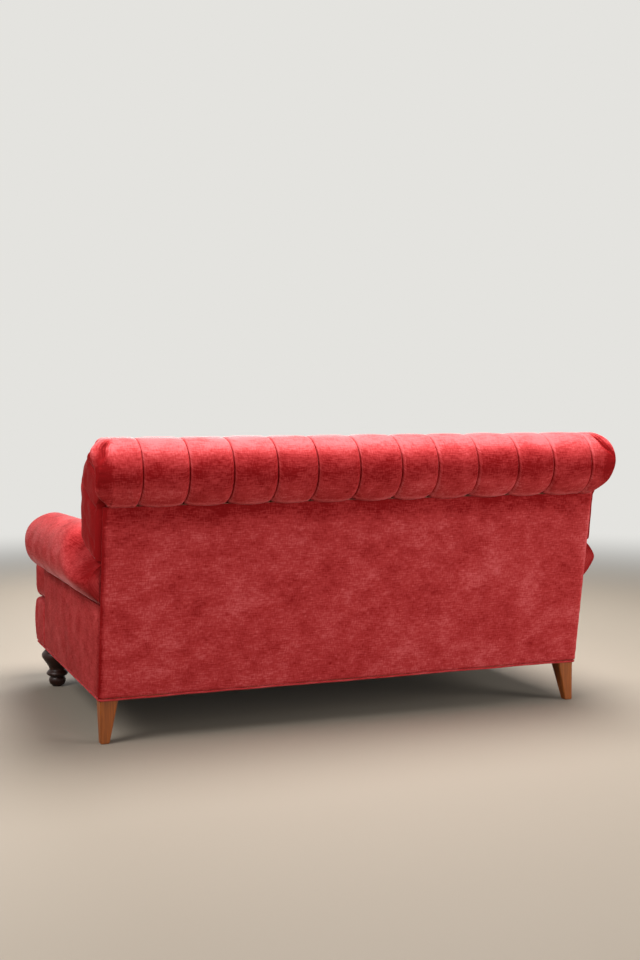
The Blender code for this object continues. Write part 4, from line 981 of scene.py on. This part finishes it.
class SETTEE_OT_inside_back(bpy.types.Operator):
    """Deep-buttoned inside back, and its covered buttons"""

    bl_idname = "settee.inside_back"
    bl_label = "Inside back"

    bottom, over_arm, top = SEAT_EDGE + GAP, ARM_TOP + ARM_RISE + 0.002, SEAM - GAP

    def face(self, x, z, centres):
        """The face line, sunk by the tuft depth times (1 - fullness), and more at each button."""
        rim = np.clip((BACK_X - np.abs(x)) / 0.02, 0.0, 1.0)
        at_foot = smooth(self.bottom, TOP_ROW - 2 * ROW, z)
        at_top = 1 - 0.72 * smooth(TOP_ROW + 0.005, SEAM, z)
        sink = sizes().tuft_depth * (1 - fullness(x, z)) * at_foot * at_top
        near = np.min(np.hypot(x[..., None] - centres[:, 0], z[..., None] - centres[:, 1]), axis=-1)
        sink = sink + 0.006 * bell(near, 0.014) + 0.0008 * waves(x, z, 0.06, 41)
        return face_line(z) + sink * rim + rounded(BACK_X - np.abs(x), 0.008)

    def pad(self, centres):
        """Rings of the pad: up its face and down its rear, at each x."""
        bottom, over_arm, top = self.bottom, self.over_arm, self.top
        step, near_step = ARM_INNER - GAP, 0.002
        x = np.linspace(-BACK_X, BACK_X, 290)
        steps = [-step, step, near_step - step, step - near_step]
        x = np.sort(np.concatenate([x[np.abs(np.abs(x) - step) > 0.003], steps]))
        low = np.linspace(bottom, over_arm, 66)[:-1]
        high = np.linspace(over_arm, top, 34)
        grid_x, grid_z = np.meshgrid(x, np.concatenate([low, high]), indexing="ij")
        # Over the arms the lower points lie under the pad, on the roll, from the pad's rear to its face.
        over = np.abs(x) > step - 0.0001
        rolled = np.sqrt(np.maximum(1 - ((np.abs(x) - ARM[0]) / ARM_RADIUS) ** 2, 0))
        on_arm = ARM[1] + ARM_RISE / 2 * (1 + rolled) + ARM_RADIUS * rolled - 0.003
        floor = np.where(over, on_arm, bottom)
        raised = floor[:, None] + (grid_z - over_arm) * ((top - floor) / (top - over_arm))[:, None]
        grid_z = np.where(over[:, None], raised, grid_z)
        front = stack(grid_x, self.face(grid_x, grid_z, centres), grid_z)
        rear_y = back_plane(floor[over], PAD_REAR)[:, None]
        share = np.linspace(0, 1, len(low) + 1)[:-1][None, :]
        lip = front[over, len(low):len(low) + 1, 1]
        front[over, :len(low), 1] = rear_y + (lip - rear_y) * share
        front[over, :len(low), 2] = floor[over][:, None]
        upright = floor[:, None] + (top - floor[:, None]) * np.linspace(1, 0, 8)[None, :]
        return np.concatenate([front, stack(x[:, None], back_plane(upright, PAD_REAR), upright)], 1)

    def buttons(self, centres):
        """A dome with a turned rim, repeated at every centre and closed at both ends."""
        button, rise, sunk = sizes().button_radius, 0.009, 0.003
        bend = np.linspace(0, math.pi / 2, 6)
        radius = np.concatenate([[button * 0.8], button * np.cos(bend)[:-1], [button * 0.08]])[:, None]
        out = np.concatenate([[-sunk], rise * np.sin(bend)])[:, None]
        around = np.linspace(0, math.tau, 18, endpoint=False)
        spot = stack(radius * np.cos(around), -out, radius * np.sin(around))
        base = face_line(centres[:, 1]) + sizes().tuft_depth + sunk
        moved = spot + stack(centres[:, 0], base, centres[:, 1])[:, None, None, :]
        m, n = spot.shape[:2]
        each = (np.arange(len(centres)) * m * n)[:, None, None]
        quads = (grid_quads(m, n) + each).reshape(-1, 4)
        k = np.arange(n)
        ahead, last_ring, pole = (k + 1) % n, (m - 1) * n, 0 * k
        first = np.stack([ahead, k, pole], -1)
        last = np.stack([k + last_ring, ahead + last_ring, pole], -1)
        fans = np.concatenate([first, last]) + each
        points = moved.reshape(-1, 3)
        fans[:, :, 2] = len(points) + np.repeat(np.arange(len(centres) * 2).reshape(-1, 2), n, 1)
        poles = np.stack([moved[:, 0].mean(1), moved[:, -1].mean(1)], 1).reshape(-1, 3)
        points = np.vstack([points, poles])
        return new_piece("back_buttons", points, quads, fans.reshape(-1, 3), points[:, [0, 2, 1]] * (1, 1, 0))

    def execute(self, context):
        centres = button_centres()
        upholster(skin("inside_back_cover", self.pad(centres), 75), ["inside_back"])
        upholster(self.buttons(centres), [])
        return {"FINISHED"}


def plan(inset, radius, rear_radius, steps):
    """The base's plan, counter-clockwise, this far inside its edge, its corners quarter circles."""
    x, y0, y1 = HALF - inset, FRONT + inset, REAR - inset
    points = []
    for cx, cy, r, first in ((x, y0, radius, -90), (x, y1, rear_radius, 0), (-x, y1, rear_radius, 90),
                             (-x, y0, radius, 180)):
        r = max(r - inset, 0.0003)
        middle = (cx - math.copysign(r, cx), cy + (r if cy == y0 else -r))
        turn = np.radians(np.linspace(first, first + 90, steps))
        points.append(np.stack([middle[0] + r * np.cos(turn), middle[1] + r * np.sin(turn)], 1))
    return np.vstack(points)


class SETTEE_OT_border(bpy.types.Operator):
    """Swelled front border, the seat deck, the bottom welt and the dust cover"""

    bl_idname = "settee.border"
    bl_label = "Border and underside"

    def border(self):
        """Rings of the border: its section, carried from one arm round both corners to the other arm."""
        run = np.linspace(ARM_FRONT - GAP, FRONT + CORNER, 14)[:-1]
        turn = np.radians(np.linspace(0, -90, 20))
        straight = np.linspace(HALF - CORNER, 0, 60)[1:]
        left = np.vstack([
            stack(HALF, run, 0.0, 0.0),
            stack(HALF - CORNER, FRONT + CORNER, turn, CORNER),
            stack(straight, FRONT + CORNER, -math.pi / 2, CORNER),
        ])
        right = left[-2::-1] * (-1, 1, -1, 1) + (0, 0, math.pi, 0)
        x, y, angle, reach = (a[:, None] for a in np.vstack([left, right]).T)

        bend, lip = 0.012, 0.006  # radius of the upper edge, and depth of the ledge's lip over the deck
        t = np.linspace(0, 1, 30)
        face = SKIRT + (SEAT_EDGE - bend - SKIRT) * t
        full = np.sin(math.pi * np.clip(0.04 + 0.9 * t, 0, 1)) ** 0.75
        over = np.linspace(0, math.pi / 2, 9)[1:]
        z = np.concatenate([face, SEAT_EDGE - bend + bend * np.sin(over),
                            [SEAT_EDGE, SEAT_EDGE - lip, DECK_FOOT, DECK_FOOT, SKIRT]])
        inset = np.concatenate([rounded(face - SKIRT, HEM), bend * (1 - np.cos(over)),
                                [BORDER - lip, BORDER, BORDER, COVER, COVER]])
        share = np.concatenate([full, full[-1] * np.cos(over), np.zeros(5)])
        swell = sizes().border_swell * (0.25 + 0.75 * np.maximum(0, -np.sin(angle)))
        edge_fall = rounded(ARM_FRONT - y, 0.008) * (np.abs(x) > HALF - 0.001)
        out = reach - inset + share * swell - edge_fall
        out = out + 0.0008 * waves(x + y, z, 0.12, 51) * (share > 0.1)
        return stack(x + np.cos(angle) * out, y + np.sin(angle) * out, z)

    def deck(self):
        """Upper and lower face of the deck, narrower between the arms and a little crowned."""
        edge, crown = 0.008, 0.002
        across = spread(-1, 1, 40, 0.02)
        ahead = np.linspace(FRONT + BORDER, ARM_FRONT - 2 * GAP, 12)
        y = np.concatenate([ahead, np.linspace(ARM_FRONT - GAP, 0.370, 30)])[:, None]
        wide = np.where(y < ARM_FRONT - 0.0005, HALF - BORDER - GAP, ARM_INNER - GAP)
        fall = rounded((1 - np.abs(across)) * wide, edge) + rounded(y - FRONT - BORDER, edge)
        fall = fall + crown * across**2
        return stack(wide * across, y, SEAT_EDGE - fall), stack(wide * across, y, DECK_FOOT)

    def welt(self):
        """Rings of a cord of 12 sides along the base's plan, its cover puckered a little by the stitching."""
        path, run = evenly(plan(0.0033, CORNER, 0.0099, 10), 900, closed=True)
        ahead = np.roll(path, -2, 0) - np.roll(path, 2, 0)
        ahead /= np.linalg.norm(ahead, axis=1)[:, None]
        spin = np.linspace(0, math.tau, 12, endpoint=False)
        girth = sizes().welt_radius * (1 + 0.05 * np.sin(run / 0.009)[:, None] * np.cos(spin))
        drift = 0.0007 * waves(run, 0 * run, 0.2, 61)[:, None]
        out = girth * np.cos(spin)
        z = LEG_HEIGHT + 0.0034 + drift + girth * np.sin(spin)
        return stack(path[:, :1] + ahead[:, 1:] * out, path[:, 1:] - ahead[:, :1] * out, z)

    def dust_cover(self, half_x, half_y):
        """Under and upper face of a stretched sheet, cut narrower at its front edge, that sags 2 mm."""
        u, v = spread(-1, 1, 60, 0.02)[:, None], spread(-1, 1, 44, 0.02)
        cut = 0.040 * np.clip((-v - 0.93) / 0.07, 0, 1) ** 2
        sag = 0.002 * (1 - u**4) * (1 - v**4) + 0.00015 * waves(u, v, 0.4, 71)
        x, y = u * (half_x - cut), (REAR + FRONT) / 2 + v * half_y
        z = LEG_HEIGHT + 0.0032 - np.maximum(sag, 0)
        return stack(x, y, z), stack(x, y, z + 0.0011)

    def execute(self, context):
        upholster(skin("front_border_cover", self.border(), PANEL_CREASE), ["front_border"])
        deck_cloth = cloth_material("plain_deck_cloth", "deck", 0.0022, 0.25, 0.9)
        dress(panel("seat_deck_cover", *self.deck()), deck_cloth, ["seat_deck"])
        upholster(skin("bottom_welt_cover", self.welt(), loop=True), ["bottom_welt"])
        half_x, half_y = HALF - 0.013, (REAR - FRONT) / 2 - 0.013
        sheet = panel("dust_cover_cloth", *self.dust_cover(half_x, half_y))
        cambric = cloth_material("spun_cambric", "cambric", 0.0018, 0.5, 0.95)
        dress(sheet, cambric, ["dust_cover"])
        return {"FINISHED"}


def cushion_plan(inset):
    """Plan of the left cushion: a T half, its corners rounded, its long sides drawn in by a sine."""
    inner, arm = 0.003 + inset, ARM_INNER - 0.005 - inset
    ear, front = HALF + 0.003 - inset, FRONT - 0.014 + inset
    ear_rear, rear = ARM_FRONT - 0.009 - inset, FACE_LOW - 0.006 - inset
    corners = np.array(((inner, front), (ear, front), (ear, ear_rear),
                        (arm, ear_rear), (arm, rear), (inner, rear)))
    radii = (0.020, 0.040, 0.030, 0.006, 0.030, 0.020)
    counts = (40, 8, 6, 32, 34, 42)
    points = []
    for k in range(6):
        corner, radius = corners[k], radii[k]
        before, after = corners[k - 1] - corner, corners[(k + 1) % 6] - corner
        length = np.linalg.norm(after)
        back, ahead = before / np.linalg.norm(before), after / length
        t = np.linspace(0, 1, 7)[:, None]
        points.append(corner + back * radius * (1 - t) ** 2 + ahead * radius * t**2)
        t = np.linspace(radius / length, 1 - radii[(k + 1) % 6] / length, counts[k] + 2)[1:-1, None]
        waist = 0.005 * np.sin(math.pi * t) * min(length / 0.4, 1.0)
        points.append(corner + ahead * length * t + np.array((-ahead[1], ahead[0])) * waist)
    return np.vstack(points)


def points_of(mesh):
    """The places of a mesh's points, as an array."""
    places = np.empty(len(mesh.vertices) * 3, np.float32)
    mesh.vertices.foreach_get("co", places)
    return places.reshape(-1, 3).astype(float)


def swollen(obj, steps=20, cap=0.014):
    """The piece's points after the cloth swells under pressure without gravity, none moving past the cap."""
    scene = bpy.context.scene
    before = points_of(obj.data)
    cloth = obj.modifiers.new("cloth", "CLOTH")
    cloth.settings.quality = 5
    cloth.settings.mass = 0.3
    cloth.settings.tension_stiffness = 12
    cloth.settings.compression_stiffness = 12
    cloth.settings.bending_stiffness = 0.6
    cloth.settings.use_pressure = True
    cloth.settings.uniform_pressure_force = 4.0
    cloth.settings.effector_weights.gravity = 0.0
    cloth.collision_settings.use_collision = False
    cloth.collision_settings.use_self_collision = False
    cloth.point_cache.frame_start = 1
    cloth.point_cache.frame_end = steps
    for step in range(1, steps + 1):
        scene.frame_set(step)
    evaluated = obj.evaluated_get(bpy.context.evaluated_depsgraph_get())
    move = points_of(evaluated.data) - before
    obj.modifiers.remove(cloth)
    scene.frame_set(1)
    length = np.linalg.norm(move, axis=1)[:, None]
    return before + move * np.minimum(1.0, cap / np.maximum(length, 1e-9))


class SETTEE_OT_cushions(bpy.types.Operator):
    """Two loose T cushions, swollen as cloth bags under pressure"""

    bl_idname = "settee.cushions"
    bl_label = "Seat cushions"

    bottom = SEAT_EDGE + 2 * GAP

    def start(self):
        """Rings of the left bag before it swells: its underside, its rounded sides and its crown."""
        bottom, tall = self.bottom, CUSHION - 0.012
        heart = np.array((0.40, FRONT + 0.33))
        foot, flat = cushion_plan(0.030), cushion_plan(0.022)
        # Inset and height on the sides, then the share of the outline on the crown
        sides = ((0.030, 0.0), (0.012, 0.005), (0.004, 0.018), (0.001, 0.04), (0.001, 0.08),
                 (0.001, tall - 0.04), (0.003, tall - 0.018), (0.009, tall - 0.005), (0.022, tall))
        crown = (0.92, 0.8, 0.65, 0.48, 0.3, 0.12)
        rings = [(heart + (foot - heart) * share, bottom) for share in (0.12, 0.4, 0.7, 0.9)]
        rings += [(cushion_plan(inset), bottom + z) for inset, z in sides]
        rings += [(heart + (flat - heart) * share, bottom + tall + 0.018 * (1 - share**3)) for share in crown]
        return np.array([stack(ring[:, 0], ring[:, 1], z) for ring, z in rings])

    def bag(self, context):
        """The start shape in even faces, which is what the cloth needs."""
        start = skin("cushion_start", self.start())
        remesh = start.modifiers.new("voxels", "REMESH")
        remesh.mode = "VOXEL"
        remesh.voxel_size = 0.0065
        data = bpy.data.meshes.new_from_object(start.evaluated_get(context.evaluated_depsgraph_get()))
        bpy.data.objects.remove(start)
        bag = bpy.data.objects.new("cushion_bag", data)
        context.scene.collection.objects.link(bag)
        return bag

    def execute(self, context):
        bag = self.bag(context)
        data = bag.data
        x, y, z = swollen(bag).T
        z = np.maximum(z, self.bottom + 0.0006 * (1 + waves(x, y, 0.09, 81)))
        # It keeps clear of the other cushion, the arms and the inside back.
        wide = np.where(y > ARM_FRONT - 0.0075, ARM_INNER - 0.002, HALF + 0.006)
        x = np.minimum(np.maximum(x, 0.0015), wide)
        y = np.clip(y, FRONT - 0.020, FACE_LOW - 0.001)
        z = z + 0.0012 * waves(x, y, 0.10, 83) * smooth(self.bottom + 0.1, self.bottom + 0.15, z)
        for side, name in SIDES:
            mesh = data.copy()
            mesh.name = f"seat_cushion_cover_{name}"
            mesh.vertices.foreach_set("co", stack(side * x, y, z).astype(np.float32).ravel())
            if side < 0:
                mesh.flip_normals()
            cushion = place_piece(mesh.name, mesh, stack(side * x + 0.3 * z, y + z, -0.12))
            upholster(cushion, [f"seat_cushion_{name}"], f"seat_cushion_{name}")
        bpy.data.objects.remove(bag)
        return {"FINISHED"}


class SETTEE_OT_legs(bpy.types.Operator):
    """Turned front legs and square tapered rear legs"""

    bl_idname = "settee.legs"
    bl_label = "Legs"

    def turning(self):
        """Radius and height along the profile, in smooth curves with sharp quirks beside the beads."""
        height = np.array((0.0, 0.0, 0.003, 0.008, 0.0235, 0.031, 0.0345, 0.0355, 0.037, 0.047,
                           0.0555, 0.057, 0.0585, 0.065, 0.078, 0.095, 0.108, 0.119, 0.1265, 0.1297))
        radius = np.array((0.0, 0.0145, 0.0185, 0.0245, 0.0295, 0.0275, 0.025, 0.0248, 0.029, 0.0378,
                           0.0318, 0.030, 0.0287, 0.0285, 0.0345, 0.046, 0.053, 0.0515, 0.045, 0.0425))
        run = walked(np.stack([radius, height], 1))
        want = np.linspace(0, run[-1], 150)
        radius = np.maximum(through(run, radius, want), 0.0005)[:, None]
        return radius, np.clip(through(run, height, want), 0.0, height[-1])[:, None]

    def execute(self, context):
        leg_x, leg_y = 0.776, -0.40645
        radius, z = self.turning()
        around = np.linspace(0, math.tau, 64, endpoint=False)
        stained = wood_material("turned_and_stained_beech", "dark_wood", "dark_grain", 0.006, 0.40, 0.1)
        for side, name in SIDES:
            rings = stack(side * leg_x + radius * np.cos(around), leg_y + radius * np.sin(around), z)
            leg = skin(f"front_leg_turning_{name}", rings, 40)
            dress(leg, stained, [f"front_leg_{name}"])
        walnut = wood_material("oiled_walnut", "walnut", "walnut_grain", 0.007, 0.45, 0.0)
        for _, name in SIDES:
            finish(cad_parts[f"rear_leg_{name}"], walnut)
        return {"FINISHED"}


class SETTEE_OT_frame(bpy.types.Operator):
    """Finishes of the timber frame, springs and bolts, and the back's webs"""

    bl_idname = "settee.frame"
    bl_label = "Frame"

    def execute(self, context):
        beech = wood_material("sawn_beech", "beech", "beech_grain", 0.008, 0.6, 0.0)
        finishes = dict.fromkeys(("spring", "bolt"), steel_material())
        finishes.update(dict.fromkeys(("rail", "block", "post", "stump", "stretcher"), beech))
        for name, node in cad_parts.items():
            material = next((m for word, m in finishes.items() if word in name), None)
            if material and not node.hide_render:
                finish(node, material)
        jute = cloth_material("woven_jute", "jute", 0.003, 0.35, 0.95)
        half_web = 0.0249
        for number, x in enumerate((-0.56, -0.20, 0.20, 0.56), 1):
            # A web is a strip with corded edges, 1.4 mm thick.
            low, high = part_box(f"back_web_{number}")
            z = np.linspace(low.z, high.z, 80)[:, None]
            u = np.linspace(-1, 1, 13)[None, :]
            lift = 0.0003 * (np.abs(u) > 0.9) + 0.00015 * np.sin(z / 0.0012) * np.cos(u * 9)
            front = stack(x + half_web * u, back_plane(z, PAD_REAR + 0.0006) - lift, z)
            back = stack(x + half_web * u, back_plane(z, PAD_REAR - 0.0008), z)
            web = panel(f"back_web_cloth_{number}", front, back)
            dress(web, jute, [f"back_web_{number}"])
        return {"FINISHED"}


class SETTEE_PT_panel(bpy.types.Panel):
    """Lists what builds the settee"""

    bl_idname = "SETTEE_PT_panel"
    bl_label = "Settee"
    bl_space_type = "VIEW_3D"
    bl_region_type = "UI"
    bl_category = "Settee"

    def draw(self, context):
        for group in (context.scene.settee_sizes, context.scene.settee_colours):
            for key in group.__annotations__:
                self.layout.prop(group, key)
        for operator in OPERATORS:
            self.layout.operator(operator.bl_idname)


OPERATORS = (SETTEE_OT_stage, SETTEE_OT_outside_back, SETTEE_OT_scroll, SETTEE_OT_wings, SETTEE_OT_arms,
             SETTEE_OT_border, SETTEE_OT_inside_back, SETTEE_OT_cushions, SETTEE_OT_legs, SETTEE_OT_frame)
CLASSES = (SetteeSizes, SetteeColours, *OPERATORS, SETTEE_PT_panel)


def register():
    for item in CLASSES:
        bpy.utils.register_class(item)
    bpy.types.Scene.settee_sizes = PointerProperty(type=SetteeSizes)
    bpy.types.Scene.settee_colours = PointerProperty(type=SetteeColours)


def unregister():
    del bpy.types.Scene.settee_sizes
    del bpy.types.Scene.settee_colours
    for item in reversed(CLASSES):
        bpy.utils.unregister_class(item)


def main():
    """Build every piece in order."""
    register()
    for operator in OPERATORS:
        getattr(bpy.ops.settee, operator.bl_idname.split(".")[1])()


if __name__ == "__main__":
    main()
